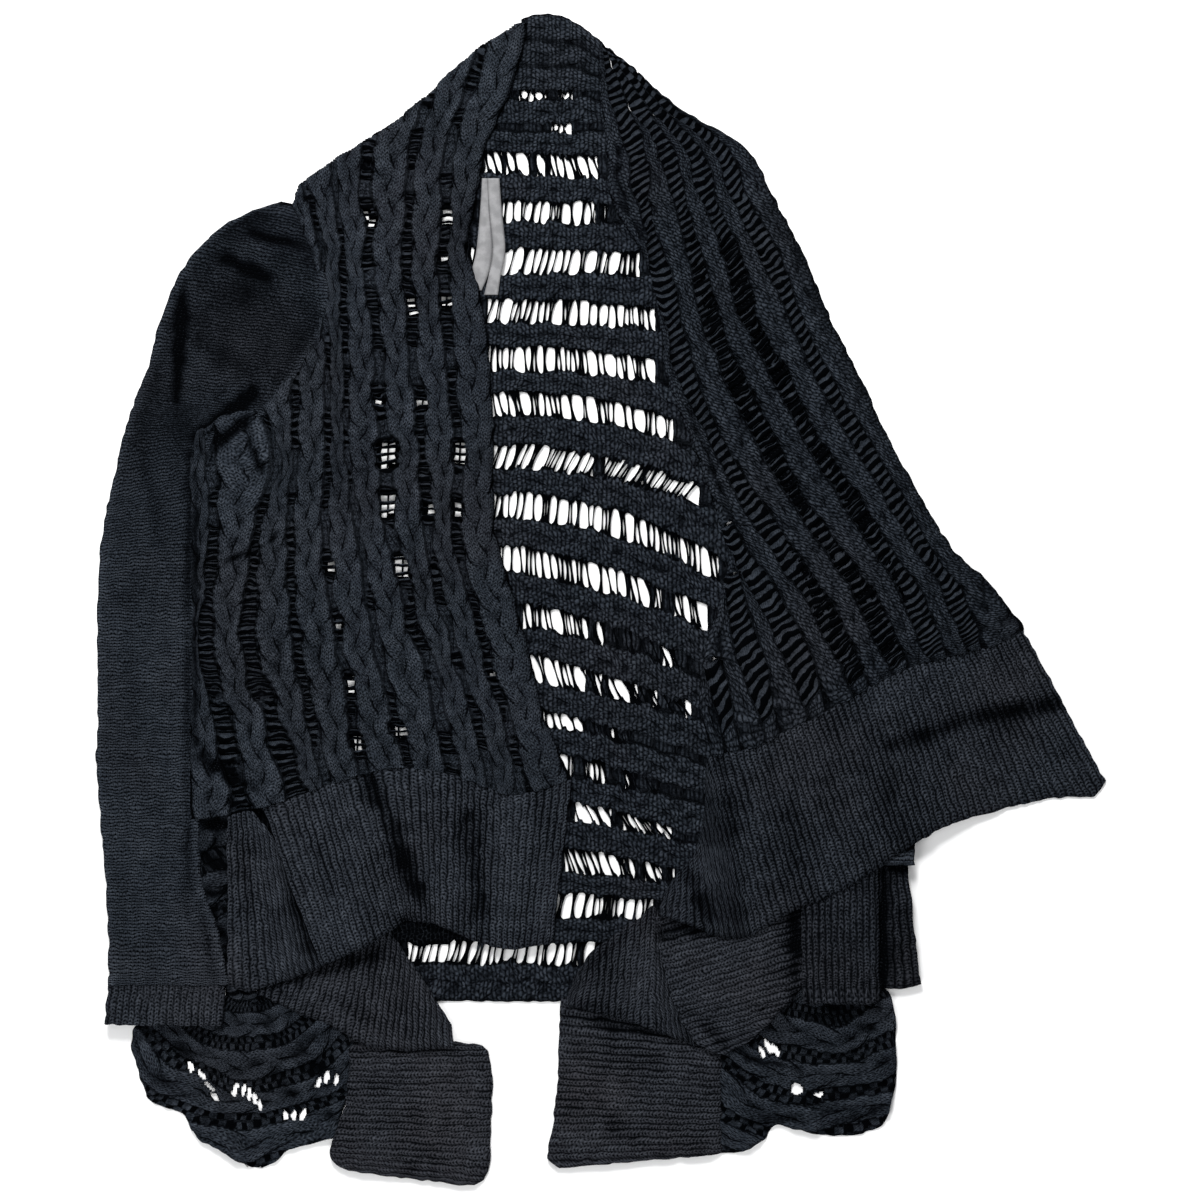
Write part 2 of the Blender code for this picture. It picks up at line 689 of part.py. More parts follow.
def add_left_front():
    """The left front: plaits between ladders, its gaps cut, its foot on the band's join."""
    table = seam_back(LEFT_FRONT, SEAM)
    half = LEFT_LADDER / 2
    ladders = np.array([LEFT_LADDERS[key] for key in LEFT_LADDERS])
    gap_tops = LEFT_GAPS["y"] + GAP_HALF_HEIGHT
    gap_feet = LEFT_GAPS["y"] - GAP_HALF_HEIGHT
    stations = sorted({*LEFT_FRONT["y_a"], *gap_tops, *gap_feet}, reverse=True)
    side_a = (table["y_a"][::-1], table["x_a"][::-1])
    side_b = (table["y_b"][::-1], table["x_b"][::-1])
    grid_x = []
    grid_y = []
    for y in stations + ["join"]:
        level = JOIN_LEVEL if y == "join" else y
        at_ladders = [np.interp(level, LADDER_Y[::-1], ladder[::-1]) for ladder in ladders.T]
        left = np.interp(level, *side_a)
        right = np.interp(level, *side_b)
        if y == "join":
            left = LEFT_JOIN["x"][0]
            right = LEFT_JOIN["x"][-1]
        line = [left]
        for spot, x in enumerate(at_ladders):
            following = at_ladders[spot + 1] if spot + 1 < len(at_ladders) else right
            line += [x - half, x + half, (x + following) / 2]
        line.append(right)
        line = [min(max(x, left), right) for x in line]
        grid_x.append(line)
        if y == "join":
            grid_y.append([join_height(LEFT_JOIN, x) + 2 * SEAM for x in line])
        else:
            grid_y.append([y] * len(line))
    xs = np.array(grid_x)
    ys = np.array(grid_y)
    under = np.full_like(xs, LEVEL_1)
    top = under + WALL
    for column in range(3, xs.shape[1] - 1, 3):
        top[1:-1, column] += CABLE_RISE
        top[2:-1:2, column] -= CABLE_RISE / 3
    gaps = set()
    for ladder, y in zip(LEFT_GAPS["ladder"], LEFT_GAPS["y"]):
        row = stations.index(y + GAP_HALF_HEIGHT)
        gaps.add((row, 1 + 3 * int(ladder)))
    add_wall("left_front", Wall(xs, ys, under, top), gaps)


def right_front_shares(table, place):
    """Shares of the way across at one section: each ladder's sides, and the plait after it."""
    x_a, y_a, x_b, y_b = [smooth_at(table[key], place) for key in ("x_a", "y_a", "x_b", "y_b")]
    width = math.hypot(x_b - x_a, y_b - y_a)
    half = RIGHT_LADDER / 2 / max(width, 5 * RIGHT_LADDER)
    sections = np.array([RIGHT_LADDERS[key] for key in RIGHT_LADDERS])
    ladders = [smooth_at(ladder, max(place - 1, 0)) for ladder in sections.T]
    at_seam = 0.02
    shares = [0.0]
    for ladder, following in zip(ladders, ladders[1:] + [1.0]):
        if ladder < at_seam:
            shares += [0.0, 0.0, 0.0 if following < at_seam else following / 2]
        else:
            shares += [max(ladder - half, 0), ladder + half, (ladder + following) / 2]
    shares.append(1.0)
    return list(np.maximum.accumulate(shares))


def add_right_front():
    """The right front, flipped open over the sleeve: ladders furrowed, cables raised."""
    table = seam_back(RIGHT_FRONT, SEAM)
    sections = len(table["x_a"])
    places = np.linspace(0, sections - 1, 3 * (sections - 1) + 1)
    shares = [right_front_shares(table, place) for place in places]
    xs, ys = across_sections(table, shares, places, ("x_a", "y_a", "x_b", "y_b"))
    foot_x, foot_y, end_x, end_y = [table[key][-1] for key in ("x_a", "y_a", "x_b", "y_b")]
    for row, place in enumerate(places):
        near_join = max(place - (sections - 2), 0)
        for column, share in enumerate(shares[row]):
            straight = foot_y + (end_y - foot_y) * share
            at_join = join_height(RIGHT_JOIN, foot_x + (end_x - foot_x) * share) + SEAM
            ys[row, column] += near_join * (at_join - straight)
    under = np.zeros_like(xs)
    top = np.zeros_like(xs)
    slope_share = 0.2
    for row, place in enumerate(places):
        lift = OVER_SLEEVE * smooth_at(table["lift"], place)
        for column, share in enumerate(shares[row]):
            plateau = ease(share / slope_share) * ease((1 - share) / slope_share)
            under[row, column] = max(lift * plateau, 0)
            crest = column % 3 == 0 and 0 < share < 1 and 0 < row < len(places) - 1
            top[row, column] = under[row, column] + WALL + (CABLE_RISE if crest else 0)
    add_wall("right_front", Wall(xs, ys, under, top))


def ring_section(table, place, inset):
    """A flat oval ring round one sleeve section, drawn in by the inset."""
    x_a, y_a, x_b, y_b, under = [smooth_at(table[key], place)
                                 for key in ("x_a", "y_a", "x_b", "y_b", "under")]
    length = math.hypot(x_b - x_a, y_b - y_a)
    along = ((x_b - x_a) / length, (y_b - y_a) / length)
    height = TUBE - 2 * inset
    base = max(under, 0) + inset
    bend = min(height / 2, SLEEVE_BEND) / length
    across = (bend, 0.35, 0.65, 1 - bend)
    ring = [(share, 0.0) for share in across]
    ring.append((1.0, 0.5))
    ring += [(share, 1.0) for share in reversed(across)]
    ring.append((0.0, 0.5))
    points = []
    for share, level in ring:
        distance = inset + share * (length - 2 * inset)
        points.append((x_a + along[0] * distance, y_a + along[1] * distance, base + level * height))
    return points


def add_sleeve(name, table, slit_from):
    """A sleeve laid flat: an oval tube, with the slit between its walls open at the wrist.

    The slit starts at the section slit_from; from 0 it runs the whole length.
    """
    table = seam_back(table, SEAM)
    sections = len(table["x_a"])
    inset = (TUBE - TUBE_SLIT) / 2
    outer = [ring_section(table, place, 0) for place in range(sections)]
    inner = [ring_section(table, place, inset) for place in range(slit_from, sections)]
    rings = outer + inner[::-1]
    points = [point for ring in rings for point in ring]
    size = len(outer[0])
    faces = []
    for ring in range(len(rings) - 1):
        for spot in range(size):
            after = (spot + 1) % size
            faces.append([ring * size + spot, ring * size + after,
                          (ring + 1) * size + after, (ring + 1) * size + spot])
    final = (len(rings) - 1) * size
    if slit_from == 0:
        for spot in range(size):
            after = (spot + 1) % size
            faces.append([final + spot, final + after, after, spot])
    else:
        faces.append(list(range(size)))
        faces.append([final + spot for spot in reversed(range(size))])
    add_object(name, points, faces, YARN, 0.3)


def add_cuff(name, table):
    """A rib cuff laid flat: a tube whose upper wall carries the ribs."""
    table = seam_back(table, SEAM)
    sections = len(table["x_a"])
    inset = (TUBE - TUBE_SLIT) / 2
    width = abs(table["x_b"][0] - table["x_a"][0])
    ribs = int(width / RIB_PITCH) - 1
    shares = np.linspace(1 - CUFF_SIDE, CUFF_SIDE, 2 * ribs + 1)
    rings = []
    for place in list(range(sections)) + list(range(sections))[::-1]:
        inside = len(rings) >= sections
        x_a, y_a, x_b, y_b, under = [smooth_at(table[key], place)
                                     for key in ("x_a", "y_a", "x_b", "y_b", "under")]
        step = inset / abs(x_b - x_a) if inside else 0
        low = under + inset if inside else under
        high = under + TUBE - inset if inside else under + TUBE
        middle = (low + high) / 2
        ring = [(step, middle), (CUFF_SIDE, low), (1 - CUFF_SIDE, low), (1 - step, middle)]
        for spot, share in enumerate(shares):
            crest = RIB_RISE if spot % 2 and not inside else 0
            ring.append((share, high + crest))
        rings.append([(x_a + (x_b - x_a) * share, y_a + (y_b - y_a) * share, z)
                      for share, z in ring])
    size = len(rings[0])
    points = [point for ring in rings for point in ring]
    faces = []
    for ring in range(len(rings)):
        after_ring = (ring + 1) % len(rings)
        for spot in range(size):
            after = (spot + 1) % size
            faces.append([ring * size + spot, ring * size + after,
                          after_ring * size + after, after_ring * size + spot])
    add_object(name, points, faces, YARN_FADED, 0.3)


def cascade_relief(x, y):
    """Swells of the plaits in the fallen corners."""
    turn = 2 * math.pi
    swell = math.sin(turn * x / SWELL_WIDTH) * math.cos(turn * (x + y) / SWELL_LENGTH)
    return SWELL_RISE * (0.5 + 0.5 * swell)


def pucker_relief(x, y):
    """Cloth puckered evenly, a little thicker than one layer."""
    return PURL_RISE


def add_label():
    """The blank ribbon label on the neck of the back."""
    rows = len(NECK_LABEL["y"])
    xs = np.zeros((rows, 3))
    ys = np.zeros_like(xs)
    top = np.full_like(xs, LEVEL_1 + LABEL_WALL)
    for row in range(rows):
        x_a = NECK_LABEL["x_a"][row] + 2 * SEAM
        x_b = NECK_LABEL["x_b"][row]
        xs[row] = (x_a, (x_a + x_b) / 2, x_b)
        ys[row] = NECK_LABEL["y"][row]
        top[row, 1] += LABEL_WALL / 2
    under = np.full_like(xs, LEVEL_1)
    add_wall("neck_label", Wall(xs, ys, under, top), colour=RIBBON)


for old in list(bpy.data.objects):
    bpy.data.objects.remove(old, do_unlink=True)

add_back()
add_left_front()
add_right_front()
add_sheet("left_side_fold", LEFT_SIDE_FOLD, 5, 12, pucker_relief)
add_sheet("left_cascade", LEFT_CASCADE, 18, 23, cascade_relief,
          list(zip(LEFT_CASCADE_GAPS["x"], LEFT_CASCADE_GAPS["y"])))
add_sheet("right_cascade", RIGHT_CASCADE, 14, 21, cascade_relief,
          list(zip(RIGHT_CASCADE_GAPS["x"], RIGHT_CASCADE_GAPS["y"])))
add_band("left_band_front", LEFT_BAND_FRONT, rise_by=0.3, join=LEFT_JOIN)
add_band("left_band_under", LEFT_BAND_UNDER)
add_band("left_band_turn", LEFT_BAND_TURN)
add_band("left_band_end", LEFT_BAND_END, colour=YARN_FADED)
add_band("right_band_front", RIGHT_BAND_FRONT, rise_by=0.6, join=RIGHT_JOIN)
add_band("right_band_under", RIGHT_BAND_UNDER)
add_band("right_band_turn", RIGHT_BAND_TURN)
add_band("right_band_end", RIGHT_BAND_END, colour=YARN_FADED)
add_sleeve("left_sleeve", LEFT_SLEEVE, slit_from=6)
add_sleeve("right_sleeve", RIGHT_SLEEVE, slit_from=0)
add_cuff("left_cuff", LEFT_CUFF)
add_cuff("right_cuff", RIGHT_CUFF)
add_band("right_cuff_fold", RIGHT_CUFF_FOLD)
add_label()
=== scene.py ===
import math
import bpy
import numpy as np
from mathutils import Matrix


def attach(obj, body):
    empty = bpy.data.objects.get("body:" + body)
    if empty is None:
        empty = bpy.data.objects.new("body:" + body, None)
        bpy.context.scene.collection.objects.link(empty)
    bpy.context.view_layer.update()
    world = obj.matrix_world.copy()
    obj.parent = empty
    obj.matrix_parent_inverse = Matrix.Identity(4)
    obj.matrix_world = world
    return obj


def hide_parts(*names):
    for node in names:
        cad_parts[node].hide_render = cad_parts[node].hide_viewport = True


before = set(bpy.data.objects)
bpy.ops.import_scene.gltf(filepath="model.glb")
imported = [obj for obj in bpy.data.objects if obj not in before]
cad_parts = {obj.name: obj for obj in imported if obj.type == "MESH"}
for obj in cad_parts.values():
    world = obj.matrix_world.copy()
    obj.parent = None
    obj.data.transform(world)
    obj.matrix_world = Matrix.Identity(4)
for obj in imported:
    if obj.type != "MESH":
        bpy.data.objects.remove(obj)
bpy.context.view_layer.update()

# A knitted cardigan laid out flat, wrong side of the back up. Sizes in the tables are
# millimetres: X across, Y up the garment, Z off the table. Left and right are as seen
# from above. A ladder is a column of dropped stitches: bare rungs of yarn.

# ==== Back panel =======================================================================
# The middle of one sideways knitted body, seen from inside: plaits of washed navy cotton,
# wrong side up, with rows of dropped stitches between them that stay open on thin rungs.
# It is knitted in one piece with both fronts and sewn to nothing but the sleeves.

WALL = 3.0               # one layer of the knit
LEVEL_1 = 4.4            # underside of what lies on one layer
LEVEL_2 = 8.6            # underside of what lies on two layers
WALE = 3.7               # width of one column of stitches
COURSE = 2.7             # height of one row of stitches
# Yarn colours: near black for painted shade, the navy itself, a lighter navy for worn ridges that is
# partly painted highlight, and a rusty fade
YARN_IN_SHADE = (0.0007, 0.0009, 0.0013, 1)
YARN_NAVY = (0.0188, 0.0236, 0.0310, 1)
YARN_WORN_AND_LIT = (0.0580, 0.0680, 0.0840, 1)
YARN_RUSTY = (0.0400, 0.0330, 0.0340, 1)
RUNG_STANDING = 0.42     # how much light a bare rung takes, where 1 is a ridge


def columns(names, *rows):
    """A short table of sections: each named column as an array of millimetres."""
    return dict(zip(names.split(), np.array(rows, float).T))


def smooth_at(values, place):
    """A column's values at places between its rows, on a Catmull-Rom curve."""
    last = len(values) - 1
    place = np.clip(np.asarray(place, float), 0, last)
    row = np.minimum(place.astype(int), last - 1)
    part = place - row
    before = values[np.maximum(row - 1, 0)]
    start = values[row]
    end = values[row + 1]
    after = values[np.minimum(row + 2, last)]
    slope_start = (end - before) / 2
    slope_end = (after - start) / 2
    cubic = (2 * start - 2 * end + slope_start + slope_end) * part ** 3
    square = (3 * end - 3 * start - 2 * slope_start - slope_end) * part ** 2
    return cubic + square + slope_start * part + start


def ease(value):
    """Smooth step from 0 to 1."""
    value = np.clip(value, 0.0, 1.0)
    return value * value * (3 - 2 * value)


def uneven(x, y, size, seed):
    """An uneven hand: smooth chance values, -1 to 1, that change over about this size."""
    chance = np.random.RandomState(seed).uniform(-1, 1, (128, 128))
    u = np.asarray(x, float) / size + 640
    v = np.asarray(y, float) / size + 640
    column = np.floor(u).astype(int)
    row = np.floor(v).astype(int)
    u = ease(u - column)
    v = ease(v - row)
    here = [chance[(row + i) % 128, (column + j) % 128] for i in (0, 1) for j in (0, 1)]
    upper = here[0] + (here[1] - here[0]) * u
    lower = here[2] + (here[3] - here[2]) * u
    return upper + (lower - upper) * v


def blurred(values, reach):
    """Mean of the values around each grid point, in a square of this reach."""
    size = 2 * reach + 1
    for axis in (0, 1):
        margin = [(0, 0), (0, 0)]
        margin[axis] = (reach + 1, reach)
        total = np.pad(values, margin, mode="edge").cumsum(axis=axis)
        count = total.shape[axis]
        ends = np.take(total, range(size, count), axis)
        starts = np.take(total, range(count - size), axis)
        values = (ends - starts) / size
    return values


def framed(grid, joined):
    """The grid with one more line all round: like the last line where a side is joined."""
    wider = np.pad(grid, 1)
    if "first" in joined:
        wider[0] = wider[1]
    if "last" in joined:
        wider[-1] = wider[-2]
    if "start" in joined:
        wider[:, 0] = wider[:, 1]
    return wider


def lines_from_rim(kept, most, joined):
    """How many grid lines each point lies from a free rim or a hole, up to a most."""
    solid = framed(kept, joined)
    inside = solid[:-1, :-1] & solid[:-1, 1:] & solid[1:, :-1] & solid[1:, 1:]
    lines = np.zeros(inside.shape)
    for _ in range(most):
        lines += inside
        grown = framed(inside, joined)
        inside = inside & grown[:-2, 1:-1] & grown[2:, 1:-1] & grown[1:-1, :-2] & grown[1:-1, 2:]
    return lines


def values_at(table, keys, place):
    """Some columns of a table, read smoothly at places between its rows."""
    return [smooth_at(table[key], place) for key in keys.split()]


def cell_middles(xs, ys):
    """The middle of each face of a grid."""
    return (xs[:-1, :-1] + xs[1:, 1:]) / 2, (ys[:-1, :-1] + ys[1:, 1:]) / 2


def stacked(*values):
    """One vector for each point of a grid, from three grids or numbers."""
    return np.stack(np.broadcast_arrays(*values), -1).astype(float)


def handmade(xs, ys):
    """Places moved by about a millimetre: washed knit never lies quite true."""
    return xs + 0.9 * uneven(xs, ys, 5.0, 301), ys + 0.9 * uneven(xs, ys, 5.0, 302)


def creased(xs, ys, creases):
    """How deep each point lies in the creases: x y x y of each one's ends, reach, depth."""
    depth = np.zeros(np.broadcast(xs, ys).shape)
    for x_0, y_0, x_1, y_1, reach, deep in creases:
        length = (x_1 - x_0) ** 2 + (y_1 - y_0) ** 2
        share = np.clip(((xs - x_0) * (x_1 - x_0) + (ys - y_0) * (y_1 - y_0)) / length, 0, 1)
        away = np.hypot(xs - x_0 - share * (x_1 - x_0), ys - y_0 - share * (y_1 - y_0))
        away = np.maximum(away + 0.35 * reach * uneven(xs, ys, 9, 303), 0)
        fading = 0.6 + 0.4 * np.sin(math.pi * share)
        depth = np.maximum(depth, deep * fading * np.exp(-(away / reach) ** 2))
    return depth


def underside(kept, block):
    """Rings of grid corners for the unseen side: large faces wherever no rim is near."""
    rows, across = kept.shape
    high = -(-rows // block)
    wide = -(-across // block)
    filled = np.zeros((high * block, wide * block), bool)
    filled[:rows, :across] = kept
    whole = np.pad(filled.reshape(high, block, wide, block).all(axis=(1, 3)), 1)
    index = np.arange((rows + 1) * (across + 1)).reshape(rows + 1, across + 1)
    rings = []
    for i, j in np.argwhere(whole[1:-1, 1:-1]):
        r, c = i * block, j * block
        r_end, c_end = r + block, c + block
        ring = list(index[r, c:c_end]) if not whole[i, j + 1] else [index[r, c]]
        ring += list(index[r:r_end, c_end]) if not whole[i + 1, j + 2] else [index[r, c_end]]
        ring += (list(index[r_end, c_end:c:-1]) if not whole[i + 2, j + 1]
                 else [index[r_end, c_end]])
        ring += (list(index[r_end:r:-1, c]) if not whole[i + 1, j] else [index[r_end, c]])
        rings.append(ring)
    covered = np.kron(whole[1:-1, 1:-1], np.ones((block, block), bool))[:rows, :across]
    fine = kept & ~covered
    corners = (index[:-1, :-1], index[:-1, 1:], index[1:, 1:], index[1:, :-1])
    rings += np.stack([corner[fine] for corner in corners], -1).tolist()
    return rings


def knit_shell(name, xs, ys, under, top, kept, yarn, make, block=4, joined=()):
    """A closed piece of knit over a grid: fine outer face, rims, and a plain underside.

    yarn holds millimetres across and along the stitches and its painted light, 0 in shade and 1 on a
    lit ridge;
    make holds how much of a ladder it is, its count of rungs, and how faded it is;
    joined names the sides of the grid that run on into another piece.
    """
    rows, across = xs.shape
    xs, ys = handmade(xs, ys)
    wide = (xs[:-1, 1:] - xs[:-1, :-1]) * (ys[1:, :-1] - ys[:-1, :-1])
    tall = (ys[:-1, 1:] - ys[:-1, :-1]) * (xs[1:, :-1] - xs[:-1, :-1])
    kept = kept & (np.abs(wide - tall) > 0.12)
    faces_up = (wide - tall)[kept].sum() > 0
    rounding = 0.3 + 0.7 * ease(lines_from_rim(kept, 2, joined) / 2)
    top = under + (top - under) * rounding
    index = np.arange(rows * across).reshape(rows, across)
    a, b, c, d = index[:-1, :-1], index[:-1, 1:], index[1:, 1:], index[1:, :-1]
    faces = np.stack([a[kept], b[kept], c[kept], d[kept]], -1).tolist()
    around = np.pad(kept, 1)
    sides = ((a, b, around[:-2, 1:-1]), (b, c, around[1:-1, 2:]),
             (c, d, around[2:, 1:-1]), (d, a, around[1:-1, :-2]))
    count = rows * across
    for start, end, beyond in sides:
        rim = kept & ~beyond
        p, q = start[rim], end[rim]
        faces += np.stack([q, p, p + count, q + count], -1).tolist()
    for ring in underside(kept, block):
        faces.append([corner + count for corner in reversed(ring)])
    if not faces_up:
        faces = [face[::-1] for face in faces]
    points = np.concatenate([np.stack([xs, ys, top], -1).reshape(-1, 3),
                             np.stack([xs, ys, under], -1).reshape(-1, 3)])
    yarn = np.tile(yarn.reshape(-1, 3), (2, 1))
    make = np.tile(make.reshape(-1, 3), (2, 1))
    return knit_object(name, points, faces, yarn, make)


def knit_object(name, points, faces, yarn, make):
    """A smooth shaded mesh in metres, of the used points, with its two yarn attributes."""
    used = np.zeros(len(points), bool)
    used[np.concatenate([np.asarray(face) for face in faces])] = True
    place = (np.cumsum(used) - 1).tolist()
    faces = [[place[corner] for corner in face] for face in faces]
    mesh = bpy.data.meshes.new(name)
    mesh.from_pydata((points[used] / 1000).tolist(), [], faces)
    for title, values in (("yarn", yarn), ("make", make)):
        layer = mesh.attributes.new(title, "FLOAT_VECTOR", "POINT")
        layer.data.foreach_set("vector", values[used].astype(np.float32).ravel())
    mesh.polygons.foreach_set("use_smooth", [True] * len(mesh.polygons))
    mesh.update()
    piece = bpy.data.objects.new(name, mesh)
    bpy.context.scene.collection.objects.link(piece)
    return piece


def cords(name, lines, radii, sides=6):
    """Short lengths of yarn as round tubes: each line is a row of points, each its radii."""
    turn = np.linspace(0, 2 * math.pi, sides, endpoint=False)
    lines = np.asarray(lines, float)
    radii = np.asarray(radii, float)
    number, steps = radii.shape
    ahead = np.gradient(lines, axis=1)
    ahead /= np.linalg.norm(ahead, axis=2, keepdims=True)
    side = np.stack([ahead[..., 1], -ahead[..., 0], np.zeros((number, steps))], -1)
    side /= np.maximum(np.linalg.norm(side, axis=2, keepdims=True), 1e-6)
    up = np.cross(side, ahead)
    ring = (side[:, :, None] * np.cos(turn)[:, None] + up[:, :, None] * np.sin(turn)[:, None])
    points = (lines[:, :, None] + ring * radii[:, :, None, None]).reshape(-1, 3)
    index = np.arange(number * steps * sides).reshape(number, steps, sides)
    after = np.roll(index, -1, axis=2)
    faces = np.stack([index[:, :-1], index[:, 1:], after[:, 1:], after[:, :-1]], -1)
    faces = faces.reshape(-1, 4).tolist()
    faces += index[:, 0, ::-1].tolist()
    faces += index[:, -1].tolist()
    length = np.linalg.norm(np.diff(lines, axis=1), axis=2).cumsum(axis=1)
    length = np.concatenate([np.zeros((number, 1)), length], axis=1)
    yarn = stacked(np.arange(sides) / sides * WALE, length[:, :, None], RUNG_STANDING)
    make = stacked(np.ones((number, steps, sides)), 0, 0)
    return knit_object(name, points, faces, yarn.reshape(-1, 3), make.reshape(-1, 3))


PLAIT_HALF = 13.0        # half the width of a plait; each is reckoned at this width
PLAIT_TURN = 105.0       # length in which one of its three strands comes back to its place
SWING = 0.54 * PLAIT_HALF
STRAND = 0.49 * PLAIT_HALF
TURN_BACK = 1.5          # how quickly a strand turns back at the plait's side


def plait(across, along):
    """How high a plait of three strands stands: across is -1 to 1, along in millimetres."""
    height = np.full(np.shape(across), -1.0)
    for turn in (0, 1, 2):
        phase = 2 * math.pi * (along / PLAIT_TURN + turn / 3)
        bend = np.tanh(TURN_BACK * np.sin(phase))
        middle = SWING * bend / math.tanh(TURN_BACK)
        slope = SWING * TURN_BACK * np.cos(phase) * (1 - bend ** 2)
        slope = slope * 2 * math.pi / PLAIT_TURN / math.tanh(TURN_BACK)
        off = (across * PLAIT_HALF - middle) / np.hypot(1, slope) / STRAND
        body = np.sqrt(np.clip(1 - off ** 2, 0, 1))
        level = np.where(body > 0, body * 0.75 - 0.5 * np.sin(2 * phase), -1)
        height = np.maximum(height, level)
    return height


def softened(relief):
    """Relief with its sharpest steps rounded, as in washed yarn."""
    return relief * 0.6 + blurred(relief, 1) * 0.4


def stood_up(top, reach, depth):
    """How high each point stands among its neighbours, 0 in a crease and 1 on a ridge: used as
    painted light and shade.
    """
    return np.clip(0.5 + (top - blurred(top, reach)) / depth, 0, 1)


def new_group(name, inputs, outputs):
    """A shader node group with named inputs and outputs, and its two end nodes."""
    group = bpy.data.node_groups.new(name, "ShaderNodeTree")
    for title, kind, value in inputs:
        socket = group.interface.new_socket(title, in_out="INPUT", socket_type=kind)
        if value is not None:
            socket.default_value = value
    for title in outputs:
        group.interface.new_socket(title, in_out="OUTPUT", socket_type="NodeSocketFloat")
    return group, group.nodes.new("NodeGroupInput"), group.nodes.new("NodeGroupOutput")


def math_node(tree, operation, *values):
    """A Math node fed by sockets or numbers; gives back its output."""
    node = tree.nodes.new("ShaderNodeMath")
    node.operation = operation
    for socket, value in zip(node.inputs, values):
        if isinstance(value, bpy.types.NodeSocket):
            tree.links.new(value, socket)
        else:
            socket.default_value = value
    return node.outputs[0]


def between(tree, value, low, high):
    """Smooth 0 to 1 as the value goes from low to high."""
    node = tree.nodes.new("ShaderNodeMapRange")
    node.interpolation_type = "SMOOTHSTEP"
    tree.links.new(value, node.inputs["Value"])
    node.inputs["From Min"].default_value = low
    node.inputs["From Max"].default_value = high
    return node.outputs["Result"]


def stitch_group():
    """Knit stitches: V shapes down each wale, or purl bumps where Purl is 1."""
    inputs = (("Across", "NodeSocketFloat", 0.0), ("Along", "NodeSocketFloat", 0.0),
              ("Vector", "NodeSocketVector", None), ("Wale", "NodeSocketFloat", WALE),
              ("Course", "NodeSocketFloat", COURSE), ("Purl", "NodeSocketFloat", 0.0),
              ("Rows", "NodeSocketFloat", 0.0))
    group, start, end = new_group("knit_stitches", inputs, ("Height",))
    noise = group.nodes.new("ShaderNodeTexNoise")
    noise.inputs["Scale"].default_value = 150
    noise.inputs["Detail"].default_value = 1
    group.links.new(start.outputs["Vector"], noise.inputs["Vector"])
    wobble = group.nodes.new("ShaderNodeSeparateColor")
    group.links.new(noise.outputs["Color"], wobble.inputs[0])
    across = math_node(group, "MULTIPLY_ADD", wobble.outputs[0], 3.0, start.outputs["Across"])
    along = math_node(group, "MULTIPLY_ADD", wobble.outputs[1], 3.0, start.outputs["Along"])
    wales = math_node(group, "DIVIDE", across, start.outputs["Wale"])
    courses = math_node(group, "DIVIDE", along, start.outputs["Course"])
    across = math_node(group, "FRACT", wales)
    leg = math_node(group, "ABSOLUTE", math_node(group, "SUBTRACT", across, 0.5))
    slanted = math_node(group, "ADD", courses, math_node(group, "MULTIPLY", leg, 1.3))
    turn = math_node(group, "MULTIPLY", slanted, 2 * math.pi)
    wave = math_node(group, "MULTIPLY_ADD", math_node(group, "COSINE", turn), 0.5, 0.5)
    round_leg = math_node(group, "SINE", math_node(group, "MULTIPLY", leg, 2 * math.pi))
    knit = math_node(group, "MULTIPLY_ADD", wave, 0.55,
                     math_node(group, "MULTIPLY", round_leg, 0.45))
    shifted = math_node(group, "MULTIPLY", math_node(group, "FLOOR", courses), 0.5)
    bump_turn = math_node(group, "MULTIPLY", math_node(group, "ADD", wales, shifted), 2 * math.pi)
    bump = math_node(group, "MULTIPLY_ADD", math_node(group, "COSINE", bump_turn), 0.3, 0.5)
    row = math_node(group, "SINE", math_node(group, "MULTIPLY",
                                             math_node(group, "FRACT", courses), math.pi))
    purl = math_node(group, "MULTIPLY", bump, row)
    change = math_node(group, "SUBTRACT", purl, knit)
    height = math_node(group, "MULTIPLY_ADD", change, start.outputs["Purl"], knit)
    change = math_node(group, "SUBTRACT", row, height)
    height = math_node(group, "MULTIPLY_ADD", change, start.outputs["Rows"], height)
    group.links.new(height, end.inputs["Height"])
    return group


